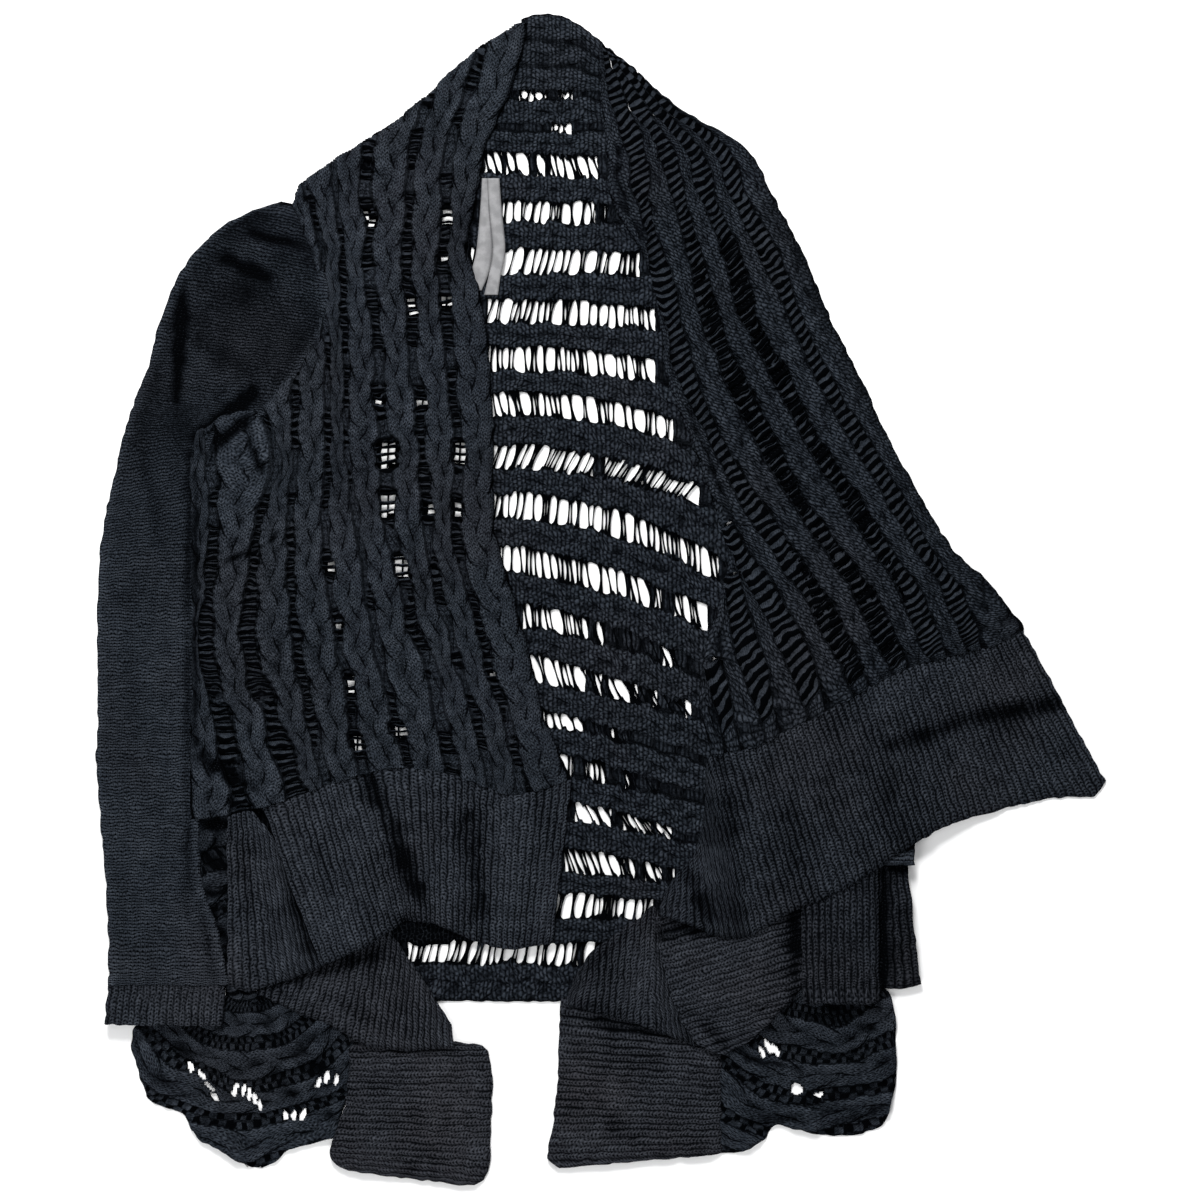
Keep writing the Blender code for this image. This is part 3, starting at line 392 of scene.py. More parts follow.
def plait_group():
    """A plait of three strands: its height, roundness, and millimetres across a strand."""
    inputs = (("Across", "NodeSocketFloat", 0.0), ("Along", "NodeSocketFloat", 0.0))
    group, start, end = new_group("three_strand_plait", inputs, ("Height", "Round", "Strand"))
    wide = math_node(group, "MULTIPLY", start.outputs["Across"], PLAIT_HALF)
    height, rounded, strand = -1.0, 0.0, 0.0
    for turn in (0, 1, 2):
        phase = math_node(group, "MULTIPLY_ADD", start.outputs["Along"],
                          2 * math.pi / PLAIT_TURN, 2 * math.pi * turn / 3)
        bend = math_node(group, "TANH", math_node(group, "MULTIPLY", math_node(group, "SINE", phase),
                                                  TURN_BACK))
        middle = math_node(group, "MULTIPLY", bend, SWING / math.tanh(TURN_BACK))
        level_part = math_node(group, "SUBTRACT", 1.0, math_node(group, "MULTIPLY", bend, bend))
        slope = math_node(group, "MULTIPLY", math_node(group, "COSINE", phase), level_part)
        slope = math_node(group, "MULTIPLY", slope,
                          SWING * TURN_BACK * 2 * math.pi / PLAIT_TURN / math.tanh(TURN_BACK))
        longer = math_node(group, "SQRT", math_node(group, "MULTIPLY_ADD", slope, slope, 1.0))
        off = math_node(group, "DIVIDE", math_node(group, "SUBTRACT", wide, middle),
                        math_node(group, "MULTIPLY", longer, STRAND))
        within = math_node(group, "SUBTRACT", 1.0, math_node(group, "MULTIPLY", off, off))
        within.node.use_clamp = True
        body = math_node(group, "SQRT", within)
        over = math_node(group, "SINE", math_node(group, "MULTIPLY", phase, 2.0))
        outside = math_node(group, "LESS_THAN", within, 0.0001)
        level = math_node(group, "MULTIPLY_ADD", over, -0.5,
                          math_node(group, "MULTIPLY", body, 0.75))
        level = math_node(group, "MULTIPLY_ADD", outside, -3.0, level)
        upper = math_node(group, "GREATER_THAN", level, height)
        change = math_node(group, "SUBTRACT", within, rounded)
        rounded = math_node(group, "MULTIPLY_ADD", change, upper, rounded)
        shifted = math_node(group, "MULTIPLY_ADD", off, STRAND, turn * 7.7)
        change = math_node(group, "SUBTRACT", shifted, strand)
        strand = math_node(group, "MULTIPLY_ADD", change, upper, strand)
        height = math_node(group, "MAXIMUM", level, height)
    group.links.new(height, end.inputs["Height"])
    group.links.new(rounded, end.inputs["Round"])
    group.links.new(strand, end.inputs["Strand"])
    return group


def cotton_group():
    """Washed cotton: fuzz, spun fibres, mottled dye and broad faded places."""
    inputs = (("Vector", "NodeSocketVector", None),)
    outputs = ("Fuzz", "Mottle", "Fade")
    group, start, end = new_group("washed_cotton", inputs, outputs)
    for title, scale, detail, low, high in (("Fuzz", 620, 4, 0.33, 0.67),
                                            ("Mottle", 130, 5, 0.36, 0.66),
                                            ("Fade", 9, 3, 0.45, 0.72)):
        noise = group.nodes.new("ShaderNodeTexNoise")
        noise.inputs["Scale"].default_value = scale
        noise.inputs["Detail"].default_value = detail
        group.links.new(start.outputs["Vector"], noise.inputs["Vector"])
        group.links.new(between(group, noise.outputs[0], low, high), end.inputs[title])
    return group


def ladder_group():
    """Ladders of dropped stitches: slits between rungs of twisted yarn, painted dark as shade."""
    inputs = (("Make", "NodeSocketVector", None), ("Yarn", "NodeSocketVector", None),
              ("Vector", "NodeSocketVector", None), ("Open", "NodeSocketFloat", 0.0))
    group, start, end = new_group("dropped_ladder", inputs, ("Slit", "Rung"))
    noise = group.nodes.new("ShaderNodeTexNoise")
    noise.inputs["Scale"].default_value = 75
    noise.inputs["Detail"].default_value = 2
    group.links.new(start.outputs["Vector"], noise.inputs["Vector"])
    uneven_hand = group.nodes.new("ShaderNodeSeparateColor")
    group.links.new(noise.outputs["Color"], uneven_hand.inputs[0])
    parts = group.nodes.new("ShaderNodeSeparateXYZ")
    group.links.new(start.outputs["Make"], parts.inputs[0])
    sizes = group.nodes.new("ShaderNodeSeparateXYZ")
    group.links.new(start.outputs["Yarn"], sizes.inputs[0])
    count = math_node(group, "MULTIPLY_ADD", uneven_hand.outputs[0], 0.9, parts.outputs[1])
    turn = math_node(group, "MULTIPLY", count, 2 * math.pi)
    wider = math_node(group, "MULTIPLY_ADD", uneven_hand.outputs[1], 1.7, -1.0)
    wider = math_node(group, "SUBTRACT", wider, start.outputs["Open"])
    wave = math_node(group, "ADD", math_node(group, "COSINE", turn), wider)
    is_ladder = between(group, parts.outputs[0], 0.35, 0.75)
    gap = between(group, wave, -0.05, -0.55)
    slit = math_node(group, "MULTIPLY", gap, is_ladder)
    twist = math_node(group, "MULTIPLY", math_node(group, "ADD", sizes.outputs[0],
                                                   sizes.outputs[1]), 2 * math.pi / 1.3)
    yarn = math_node(group, "MULTIPLY_ADD", math_node(group, "SINE", twist), 0.18, 0.7)
    rung = math_node(group, "MULTIPLY", yarn, is_ladder)
    group.links.new(slit, end.inputs["Slit"])
    group.links.new(rung, end.inputs["Rung"])
    return group


stitches = stitch_group()
plaits = plait_group()
cotton = cotton_group()
ladder_rows = ladder_group()


def use_group(tree, group, feeds):
    """Place a group in a material; feeds give each input a socket or a number."""
    node = tree.nodes.new("ShaderNodeGroup")
    node.node_tree = group
    for title, value in feeds.items():
        if isinstance(value, bpy.types.NodeSocket):
            tree.links.new(value, node.inputs[title])
        else:
            node.inputs[title].default_value = value
    return node


def blend_colour(tree, share, first, second):
    """Mix two colours, each a socket or a fixed colour, by a share."""
    node = tree.nodes.new("ShaderNodeMix")
    node.data_type = "RGBA"
    tree.links.new(share, node.inputs["Factor"])
    for socket, value in ((node.inputs[6], first), (node.inputs[7], second)):
        if isinstance(value, bpy.types.NodeSocket):
            tree.links.new(value, socket)
        else:
            socket.default_value = value
    return node.outputs[2]


def knit_material(name, purl=0.0, wale=WALE, course=COURSE, relief=0.0009, strands=0.0,
                  stitch_light=1.5, row_lines=0.0, slits_open=0.0):
    """Matt navy cotton knit: stitches, fuzz, painted shade in hollows and stitch gaps, lighter worn
    ridges that are partly painted highlight, faded places.

    strands is how clearly the three strands of a plait show, with painted shade between them, 0
    where there is no plait, row_lines how clearly the rows of stitches show, and slits_open how wide
    the ladders' slits are painted dark.
    """
    material = bpy.data.materials.new(name)
    material.use_nodes = True
    tree = material.node_tree
    shader = tree.nodes["Principled BSDF"]
    spots = tree.nodes.new("ShaderNodeTexCoord")
    yarn = tree.nodes.new("ShaderNodeAttribute")
    yarn.attribute_name = "yarn"
    make = tree.nodes.new("ShaderNodeAttribute")
    make.attribute_name = "make"
    yarn_parts = tree.nodes.new("ShaderNodeSeparateXYZ")
    tree.links.new(yarn.outputs["Vector"], yarn_parts.inputs[0])
    make_parts = tree.nodes.new("ShaderNodeSeparateXYZ")
    tree.links.new(make.outputs["Vector"], make_parts.inputs[0])
    fibre = use_group(tree, cotton, {"Vector": spots.outputs["Object"]})
    rows = use_group(tree, ladder_rows, {"Make": make.outputs["Vector"],
                                         "Yarn": yarn.outputs["Vector"],
                                         "Vector": spots.outputs["Object"],
                                         "Open": slits_open})
    flat = math_node(tree, "SUBTRACT", 1.0, make_parts.outputs[0])
    flat.node.use_clamp = True
    across = yarn_parts.outputs[0]
    painted_light = yarn_parts.outputs[2]
    if strands:
        cable = use_group(tree, plaits, {"Across": yarn_parts.outputs[0],
                                         "Along": yarn_parts.outputs[1]})
        across = cable.outputs["Strand"]
        # Painted shade in the creases between a plait's strands
        hollow = math_node(tree, "SUBTRACT", 1.0, between(tree, cable.outputs["Round"], 0.02, 0.50))
        hollow = math_node(tree, "MULTIPLY", hollow, flat)
        painted_light = math_node(tree, "MULTIPLY_ADD", hollow, -0.52 * strands, painted_light)
        painted_light.node.use_clamp = True
    knit = use_group(tree, stitches, {"Across": across, "Along": yarn_parts.outputs[1],
                                      "Vector": spots.outputs["Object"], "Wale": wale,
                                      "Course": course, "Purl": purl, "Rows": row_lines})
    stitch = math_node(tree, "MULTIPLY_ADD", knit.outputs["Height"], flat, rows.outputs["Rung"])
    # Painted light and shade: near black in stitch gaps, creases and hidden places, the navy on lit
    # stitch tops
    lit_stitch = math_node(tree, "MULTIPLY_ADD", stitch, stitch_light, 0.65 - 0.5 * stitch_light)
    lit_place = math_node(tree, "MULTIPLY_ADD", painted_light, 1.8, -0.12)
    lit_fibre = math_node(tree, "MULTIPLY_ADD", fibre.outputs["Fuzz"], 1.3, 0.35)
    open_light = math_node(tree, "MULTIPLY", math_node(tree, "MULTIPLY", lit_stitch, lit_place),
                           lit_fibre)
    open_light.node.use_clamp = True
    colour = blend_colour(tree, open_light, YARN_IN_SHADE, YARN_NAVY)
    # Lighter navy on the high stitches of high places: partly real wear, mottled, partly painted
    # highlight
    wear_and_highlight = math_node(tree, "MULTIPLY", math_node(tree, "MULTIPLY_ADD", stitch, 1.5, -0.5),
                     math_node(tree, "MULTIPLY_ADD", painted_light, 1.7, -0.45))
    wear_and_highlight.node.use_clamp = True
    wear_and_highlight = math_node(tree, "MULTIPLY", wear_and_highlight,
                     math_node(tree, "MULTIPLY_ADD", fibre.outputs["Mottle"], 0.8, 0.2))
    wear_and_highlight.node.use_clamp = True
    colour = blend_colour(tree, wear_and_highlight, colour, YARN_WORN_AND_LIT)
    washed = math_node(tree, "MULTIPLY_ADD", fibre.outputs["Fade"], 0.16,
                       math_node(tree, "MULTIPLY", make_parts.outputs[2], 0.55))
    washed = math_node(tree, "MULTIPLY", washed, open_light)
    colour = blend_colour(tree, washed, colour, YARN_RUSTY)
    # Painted shade: ladder slits coloured near black
    colour = blend_colour(tree, rows.outputs["Slit"], colour, YARN_IN_SHADE)
    tree.links.new(colour, shader.inputs["Base Color"])
    shader.inputs["Roughness"].default_value = 0.95
    shader.inputs["Specular IOR Level"].default_value = 0.008
    low = math_node(tree, "MULTIPLY_ADD", fibre.outputs["Fuzz"], 0.30, stitch)
    low = math_node(tree, "SUBTRACT", low, math_node(tree, "MULTIPLY", rows.outputs["Slit"], 1.2))
    if strands:
        low = math_node(tree, "MULTIPLY_ADD", hollow, -1.6 * strands, low)
    bump = tree.nodes.new("ShaderNodeBump")
    bump.inputs["Strength"].default_value = 1.0
    bump.inputs["Distance"].default_value = relief
    tree.links.new(low, bump.inputs["Height"])
    tree.links.new(bump.outputs["Normal"], shader.inputs["Normal"])
    return material


wrong_side = knit_material("navy_wrong_side", purl=0.75, wale=4.2, course=3.2, relief=0.0011,
                           strands=0.65, slits_open=0.40)
rung_yarn = knit_material("navy_rung_yarn", relief=0.0006)

# Height of each ladder row at the left, middle and right; its open stretch; gap height;
# how far its rungs lean over that height at the left and right, positive to the left;
# how much lower the gap is at the right; and the share of openings that have closed there
ROW_X = (-90.0, 0.0, 75.0)
BACK_TOP = (413, 419, 277)
BACK_HEM = (-302, -302, -302)
BACK_ROWS = columns(
    "left middle right open_from open_to gap lean_left lean_right taper closed",
    (378, 378, 374, -62, -21, 5, 0, 0, 0, 0.2),
    (354, 354, 352, -38, -22, 6, 0, 0, 0, 0.2),
    (328, 324, 318, -87, 1, 15, -4, -6, 0, 0.4),
    (291, 290, 286, -74, 5, 16, 2, 0, 0.15, 0.1),
    (253, 253, 247, -98, 29, 19, 6, 1, 0.2, 0),
    (216, 214, 206, -86, 41, 17, 6, -3, 0.1, 0),
    (181, 177, 166, -84, 41, 17, 0, -3, 0.1, 0),
    (146, 141, 120, -82, 54, 17, -5, 1, 0.1, 0),
    (107, 100, 78, -82, 74, 17, 7, 12, 0.25, 0.2),
    (70, 60, 30, -81, 89, 18, 3, -2, 0, 0),
    (33, 16, -12, -81, 80, 19, 0, -4, 0.1, 0.1),
    (-9, -25, -54, -58, 60, 18, -1, -5, 0.35, 0.55),
    (-45, -64, -87, -54, 68, 18, -3, -8, 0.45, 0.85),
    (-81, -99, -120, -43, 20, 10, -1, -3, 0.3, 0.95),
    (-113, -130, -150, -33, 41, 17, 6, -8, 0.45, 0.75),
    (-148, -163, -182, -20, 53, 14, -4, -9, 0.5, 0.35),
    (-189, -199, -213, -27, 56, 16, -5, -6, 0.3, 0.2),
    (-229, -231, -237, -33, 39, 16, 4, 2, 0.1, 0),
    (-265, -267, -269, -144, 16, 14, 5, 0, -0.1, 0.1),
)
BACK_LEFT = columns(
    "y x",
    (-302, -128), (-268, -150), (-258, -164), (-225, -270), (-158, -270), (-150, -295),
    (-90, -304.8), (52, -304.8), (97, -302), (127, -289), (142, -245), (176, -218),
    (198, -203), (232, -198), (266, -209), (296, -225), (315, -217), (341, -177),
    (361, -151), (381, -127), (401, -104), (416, -85), (434, -60),
)
BACK_RIGHT = columns(
    "y x",
    (-302, 0), (-270, 39), (-232, 42), (-211, 53), (-196, 67), (-180, 74), (-151, 78),
    (-118, 83), (-75, 74), (-34, 79), (0, 89), (33, 95), (75, 83), (120, 67), (165, 50),
    (210, 44), (255, 33), (300, 8), (337, 4), (378, 0), (419, -1),
)
# The left front's opening edge, which covers the back to its left
FRONT_EDGE = columns(
    "y x",
    (-302, -130), (-268, -150), (-262, -60), (-136, -26), (-84, -44), (-42, -53), (7, -67),
    (52, -80), (120, -80), (172, -83), (198, -85), (232, -91), (266, -96), (296, -92),
    (341, -86), (361, -77), (381, -68), (401, -61), (416, -58), (433, -55),
)
GAP_ROWS = len(BACK_ROWS["gap"])
GAP_LINES = 5            # grid lines across a gap
RUNG_PITCH = 5.5         # of the back's ladder rows
RUNG = 0.72              # radius of a thin rung
EDGE_PULL = 3.4          # how far a rung pulls the edge of its gap
RUNG_SHARES = np.array((1.0, 0.6, 0.2, -0.2, -0.6, -1.0))    # from its head to its foot
RUNG_SWELL = np.array((2.0, 1.3, 0.9, 0.9, 1.3, 2.0))        # of its radius at these
NECK_ROWS = 3            # narrow plaits above the highest gap
# Where the table shows through both layers of the left front: middle, width and height
LEFT_GAPS = columns(
    "x y wide tall",
    (-175, 327, 4, 5), (-178, 289, 5, 5), (-172, 283, 5, 5), (-115, 288, 5, 12),
    (-118, 257, 6, 5), (-116, 224, 7, 7), (-144, 224, 5, 5), (-140, 215, 5, 4),
    (-166, 148, 5, 5), (-134, 148, 8, 6), (-160, 109, 14, 17), (-106, 110, 7, 14),
    (-160, 71, 8, 17), (-129, 68, 6, 9), (-108, 67, 5, 12), (-149, 24, 8, 13),
    (-204, 24, 4, 6), (-140, -21, 4, 5), (-196, -20, 4, 5), (-187, -64, 5, 12),
    (-82, -57, 5, 4), (-152, -99, 9, 10), (-183, -109, 8, 12),
)


def row_height(left, middle, right, x):
    """A ladder row's height at x: level at the far left, a parabola through its three."""
    x = np.maximum(x, ROW_X[0])
    a, b, c = ROW_X
    part_left = left * (x - b) * (x - c) / ((a - b) * (a - c))
    part_middle = middle * (x - a) * (x - c) / ((b - a) * (b - c))
    part_right = right * (x - a) * (x - b) / ((c - a) * (c - b))
    return part_left + part_middle + part_right


def gap_height(row, x):
    """The height of a ladder row's middle at x."""
    return row_height(*[BACK_ROWS[key][row] for key in ("left", "middle", "right")], x)


def gap_half(row, x):
    """Half the height of a ladder row's gap at x."""
    share = np.clip((x - BACK_ROWS["open_from"][row])
                    / (BACK_ROWS["open_to"][row] - BACK_ROWS["open_from"][row]), 0, 1)
    return BACK_ROWS["gap"][row] / 2 * (1 - BACK_ROWS["taper"][row] * share)


chance = np.random.RandomState(7)
back_rungs = []          # x at the top of each gap, x at its foot, radius, row
closed_up = []           # row and x of the openings that have closed
for row, open_from in enumerate(BACK_ROWS["open_from"]):
    open_to = BACK_ROWS["open_to"][row]
    x = open_from + 2.0
    while x < open_to - 1:
        share = np.clip((x - ROW_X[0]) / 150, 0, 1)
        lean = BACK_ROWS["lean_left"][row] * (1 - share) + BACK_ROWS["lean_right"][row] * share
        lean += chance.uniform(-2.0, 2.0)
        back_rungs.append((x + lean / 2, x - lean / 2, RUNG * chance.uniform(0.7, 1.5), row))
        start = x
        x += RUNG_PITCH * chance.choice((0.35, 0.6, 0.9, 1.2, 1.6), p=(0.2, 0.2, 0.25, 0.2, 0.15))
        along_row = (x - open_from) / (open_to - open_from)
        if chance.uniform() < BACK_ROWS["closed"][row] * ease(along_row * 1.6 - 0.2):
            closed_up.append((row, start, x))
back_rungs = np.array(back_rungs)

back_x = np.concatenate([np.arange(-305, -108, 5.0), np.arange(-108, 103, 1.5)])
back_lines = []          # height over x, share of the way across the stripe, in a gap or not
upper = row_height(*BACK_TOP, back_x)
for row in range(GAP_ROWS + 1):
    in_gap = row < GAP_ROWS
    if in_gap:
        middle = gap_height(row, back_x)
        half = gap_half(row, back_x) + 0.9 * uneven(back_x, row * 9.0, 9, 8)
        middle = middle + 1.1 * uneven(back_x, row * 9.0 + 4, 12, 9)
        lower = middle + half
    else:
        lower = row_height(*BACK_HEM, back_x)
    steps = max(int(round(np.median(upper - lower) / 1.5)), 4)
    for step in range(steps + (row == GAP_ROWS)):
        share = step / steps
        across = (share * (NECK_ROWS if row == 0 else 1)) % 1.0 * 2 - 1
        back_lines.append((upper + (lower - upper) * share, across, row, 0))
    if in_gap:
        for step in range(GAP_LINES):
            back_lines.append((lower - 2 * half * step / GAP_LINES, 0, row, 1))
        upper = middle - half
back_ys = np.array([line[0] for line in back_lines])
back_xs = np.tile(back_x, (len(back_lines), 1))
stripe_share = np.array([line[1] for line in back_lines])[:, None]
line_row = np.array([line[2] for line in back_lines])
line_gap = np.array([line[3] for line in back_lines])
for row in range(GAP_ROWS):
    rungs = back_rungs[back_rungs[:, 3] == row]
    edge_top = np.flatnonzero((line_row == row) & (line_gap == 1))[0]
    edge_foot = edge_top + GAP_LINES
    for edge, column, way in ((edge_top, 0, -1), (edge_foot, 1, 1)):
        near = np.abs(back_x[:, None] - rungs[:, column][None, :])
        nearest = near.min(axis=1)
        pull = 1.1 - EDGE_PULL * np.exp(-(nearest / 1.5) ** 2)
        pull = np.where((back_x > BACK_ROWS["open_from"][row] - 3)
                        & (back_x < BACK_ROWS["open_to"][row] + 3), pull, 0)
        for away, share in enumerate((1.0, 0.7, 0.35, 0.12)):
            line = edge + way * away
            if 0 <= line < len(back_ys):
                back_ys[line] -= pull * share * way
knots = (np.sin(2 * math.pi * (back_xs / 10.5 + 0.5 * np.round(stripe_share + 0.2)))
         * np.cos(math.pi * stripe_share * 1.6))
back_along = back_xs + 31 * line_row[:, None]
braid = plait(stripe_share * np.ones_like(back_xs), back_along)
lumps = uneven(back_xs, back_ys, 6.0, 3) + 0.6 * uneven(back_xs, back_ys, 13.0, 4)
relief = (0.55 * np.clip(1 - stripe_share ** 2, 0, 1) ** 0.5 + 0.15 * knots + 0.60 * lumps
          + 0.55 * np.maximum(braid, 0))
back_top = WALL + np.where(line_gap[:, None] == 1, -0.4, relief)
cell_x, cell_y = cell_middles(back_xs, back_ys)
back_kept = cell_x > np.interp(cell_y, BACK_LEFT["y"], BACK_LEFT["x"])
back_kept &= cell_x < np.interp(cell_y, BACK_RIGHT["y"], BACK_RIGHT["x"]) + 6.0
cell_row = line_row[:-1][:, None]
cell_gap = (line_gap[:-1] == 1)[:, None]
open_from, open_to = [BACK_ROWS[key][np.minimum(cell_row, GAP_ROWS - 1)]
                      for key in ("open_from", "open_to")]
open_cells = cell_gap & (cell_x > open_from) & (cell_x < open_to)
for row, start, end in closed_up:
    open_cells &= ~((cell_row == row) & (cell_x > start) & (cell_x < end))
back_kept &= ~open_cells
for x, y, wide, tall in zip(*LEFT_GAPS.values()):
    back_kept &= np.maximum(abs(cell_x - x) / wide, abs(cell_y - y) / tall) > 0.5
# Painted shade: darker in the back's creases, and near black where the left front lies over it
covered = np.interp(back_ys, FRONT_EDGE["y"], FRONT_EDGE["x"]) - 4
back_painted_light = stood_up(back_top, 3, 1.8) * ease((back_xs - covered) / 5)
back_panel = knit_shell("back_cloth", back_xs, back_ys, np.zeros_like(back_xs), back_top,
                        back_kept, stacked(stripe_share, back_along, back_painted_light),
                        stacked(0, back_xs / RUNG_PITCH, 0))
back_panel.data.materials.append(wrong_side)

rung_lines = []
rung_radii = []
for x_top, x_foot, radius, row in back_rungs:
    row = int(row)
    half = gap_half(row, x_top) + 1.8
    bow = 1 - RUNG_SHARES ** 2
    line_x = x_foot + (x_top - x_foot) * (RUNG_SHARES + 1) / 2 + chance.uniform(-0.9, 0.9) * bow
    line_y = gap_height(row, (x_top + x_foot) / 2) + RUNG_SHARES * half
    radii = radius * RUNG_SWELL
    line_z = np.maximum(1.5 + 0.7 * bow, radii + 0.1)
    rung_lines.append(np.stack([line_x, line_y, line_z], -1))
    rung_radii.append(radii)
for x, y, wide, tall in zip(*LEFT_GAPS.values()):
    if wide > 6.5:
        rung_lines.append(stacked(x + 0.4 * RUNG_SHARES, y + RUNG_SHARES * (tall / 2 + 1.5), 2.2))
        rung_radii.append(np.full(len(RUNG_SHARES), 0.7))
back_ladder = cords("back_rungs", rung_lines, rung_radii)
back_ladder.data.materials.append(rung_yarn)

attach(back_panel, "root")
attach(back_ladder, "root")
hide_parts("back_panel")

# ==== Sleeves ==========================================================================
# Long plain knit sleeves in the same washed cotton, knitted flat, seamed into tubes and
# sewn into the armholes. They lie flat, the right one under the right front.

SLEEVE = "x_a y_a x_b y_b under"
TUBE = 7.0               # a flat sleeve: two walls of knit
SLEEVE_SIDE = 3.0        # how far in from its side a flat sleeve is level
LEFT_SLEEVE = columns(
    SLEEVE,
    (-240, 299, -226, 296, 0),
    (-262, 292, -220, 283, 0),
    (-286, 279, -215, 262, 0),
    (-313, 250, -207, 232, 0),
    (-330, 213, -211, 198, 0),
    (-338, 182, -226, 176, 0),
    (-349, 152, -250, 141, 0),
    (-357, 128, -288, 129, 0),
    (-368, 82, -300, 97, 0),
    (-375, 45, -305, 52, 0),
    (-378, 0, -305, 0, 0),
    (-378, -45, -305, -45, 0),
    (-378, -90, -306, -90, 0),
    (-379, -120, -306, -120, 0),
    (-376, -165, -305, -165, 0),
    (-372, -210, -303, -210, 0),
    (-370, -248, -291, -248, 0),
    (-369, -289, -282, -289, LEVEL_1),
)
RIGHT_SLEEVE = columns(
    SLEEVE,
    (62, 280, 100, 284, 0),
    (61, 257, 127, 257, 0),
    (69, 225, 137, 225, 0),
    (77, 187, 154, 187, 0),
    (88, 150, 168, 150, 0),
    (103, 112, 187, 112, 0),
    (119, 75, 205, 75, 0),
    (137, 37, 221, 37, 0),
    (153, 0, 235, 0, 0),
    (158, -50, 236, -50, 0),
    (156, -100, 236, -100, 0),
    (154, -150, 235, -150, 0),
    (152, -190, 232, -190, LEVEL_1),
    (151, -199, 232, -199, LEVEL_1),
)


def middle_spans(table, start, end):
    """Lengths from section to section, between the middles of a table's two sides."""
    return np.hypot(np.diff(table["x_" + start] + table["x_" + end]) / 2,
                    np.diff(table["y_" + start] + table["y_" + end]) / 2)


def sleeve_tube(table, top_points, under_points, step, closed_start=False):
    """An open skin round a flat tube, seamed below: fine above, plain where it lies."""
    spans = middle_spans(table, "a", "b")
    rows = max(int(spans.sum() / step), 4)
    travelled = np.concatenate([[0], spans.cumsum()])
    travel = np.linspace(0, travelled[-1], rows)[:, None]
    place = np.interp(travel, travelled, range(len(travelled)))
    x_a, y_a, x_b, y_b, under = [smooth_at(table[key], place) for key in SLEEVE.split()]
    width = np.hypot(x_b - x_a, y_b - y_a)
    side = np.linspace(0, math.pi, 6)[1:-1]
    across = np.linspace(0, 1, top_points)
    back = np.linspace(1, 0, under_points)
    bend = SLEEVE_SIDE / width
    upper = bend + (1 - 2 * bend) * across
    lower = bend + (1 - 2 * bend) * back
    right = 1 - bend + bend * np.sin(side)
    left = bend - bend * np.sin(side)
    share = np.concatenate([upper, right, lower, left], axis=1)
    level = np.concatenate([np.ones(top_points), 0.5 + 0.5 * np.cos(side),
                            np.zeros(under_points), 0.5 - 0.5 * np.cos(side)])[None, :]
    seam = top_points + 4 + under_points // 2
    share, level = [np.roll(ring, -seam, axis=1) for ring in (share, level)]
    share, level = [np.concatenate([ring, ring[:, :1]], axis=1) for ring in (share, level)]
    height = np.full((rows, 1), TUBE)
    if closed_start:
        height = 0.8 + (TUBE - 0.8) * ease(place / 0.6)
        x_b = x_b + 3.5 * (x_b - x_a) / width
        y_b = y_b + 3.5 * (y_b - y_a) / width
    xs = x_a + (x_b - x_a) * share
    ys = y_a + (y_b - y_a) * share
    zs = np.maximum(under, 0) + level * height
    return xs, ys, zs, share * width, travel, level * np.ones_like(xs)


def sleeve_skin(name, xs, ys, zs, around, along, painted_light, faded=0.0):
    """The tube's faces, from one side of its seam round to the other."""
    rows, ring = xs.shape
    xs, ys = handmade(xs, ys)
    index = np.arange(rows * ring).reshape(rows, ring)
    here, after = index[:, :-1], index[:, 1:]
    faces = np.stack([here[:-1], here[1:], after[1:], after[:-1]], -1).reshape(-1, 4)
    yarn = stacked(around, along, painted_light).reshape(-1, 3)
    make = stacked(np.zeros(rows * ring), 0, faded)
    points = np.stack([xs, ys, zs], -1).reshape(-1, 3)
    return knit_object(name, points, faces.tolist(), yarn, make)


# Creases of the left sleeve: x y x y of the ends, how far each reaches, how deep it is
SLEEVE_CREASES = (
    (-314, 238, -318, 150, 5, 1.6), (-282, 256, -250, 242, 5, 1.3),
    (-262, 274, -226, 266, 5, 1.0), (-262, 154, -303, 122, 7, 2.2),
    (-308, 110, -310, -230, 5, 1.5), (-300, -230, -290, -285, 4, 1.0),
    (-356, 60, -350, -120, 9, 0.6), (-330, -150, -338, -270, 8, 0.5),
    (-300, 190, -262, 172, 8, 0.6), (-345, 120, -330, 40, 7, 0.6),
)
plain_knit = knit_material("navy_plain_knit", purl=0.35, relief=0.0015, stitch_light=3.0,
                           wale=3.0, course=2.4, row_lines=0.30)
for node, table, flat, area in (
        ("left_sleeve", LEFT_SLEEVE, (0.222, 0.61), 0.103),
        ("right_sleeve", RIGHT_SLEEVE, (0.178, 0.51), 0.083)):
    xs, ys, zs, around, along, level = sleeve_tube(table, 36, 8, 2.5, closed_start=True)
    waves = 1.1 * uneven(xs, ys, 38, 11) + 0.5 * uneven(xs, ys, 15, 12)
    zs += np.where(level > 0.9, waves * ease((zs - 1) / 4), 0)
    if node == "left_sleeve":
        depth = creased(xs, ys, SLEEVE_CREASES)
        zs -= np.where(level > 0.9, depth, 0)
        # Painted light: the left sleeve darker towards its top and in its creases
        lit = 0.61 - 0.36 * ease((ys + 40) / 240) - 0.16 * depth
    else:
        lit = 0.5
    # Painted shade in hollows and light on swells, with a random tone
    painted_light = np.clip(lit + (zs - blurred(zs, 3)) / 4 + 0.12 * uneven(xs, ys, 26, 13), 0.05, 1)
    # Painted shade: the right sleeve is dark wherever the right front lies over it
    if node == "right_sleeve":
        painted_light = painted_light * ease((-185 - ys) / 8)
    sleeve = sleeve_skin(node + "_cloth", xs, ys, zs, around, along, painted_light)
    sleeve.data.materials.append(plain_knit)
    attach(sleeve, "root")
    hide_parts(node)

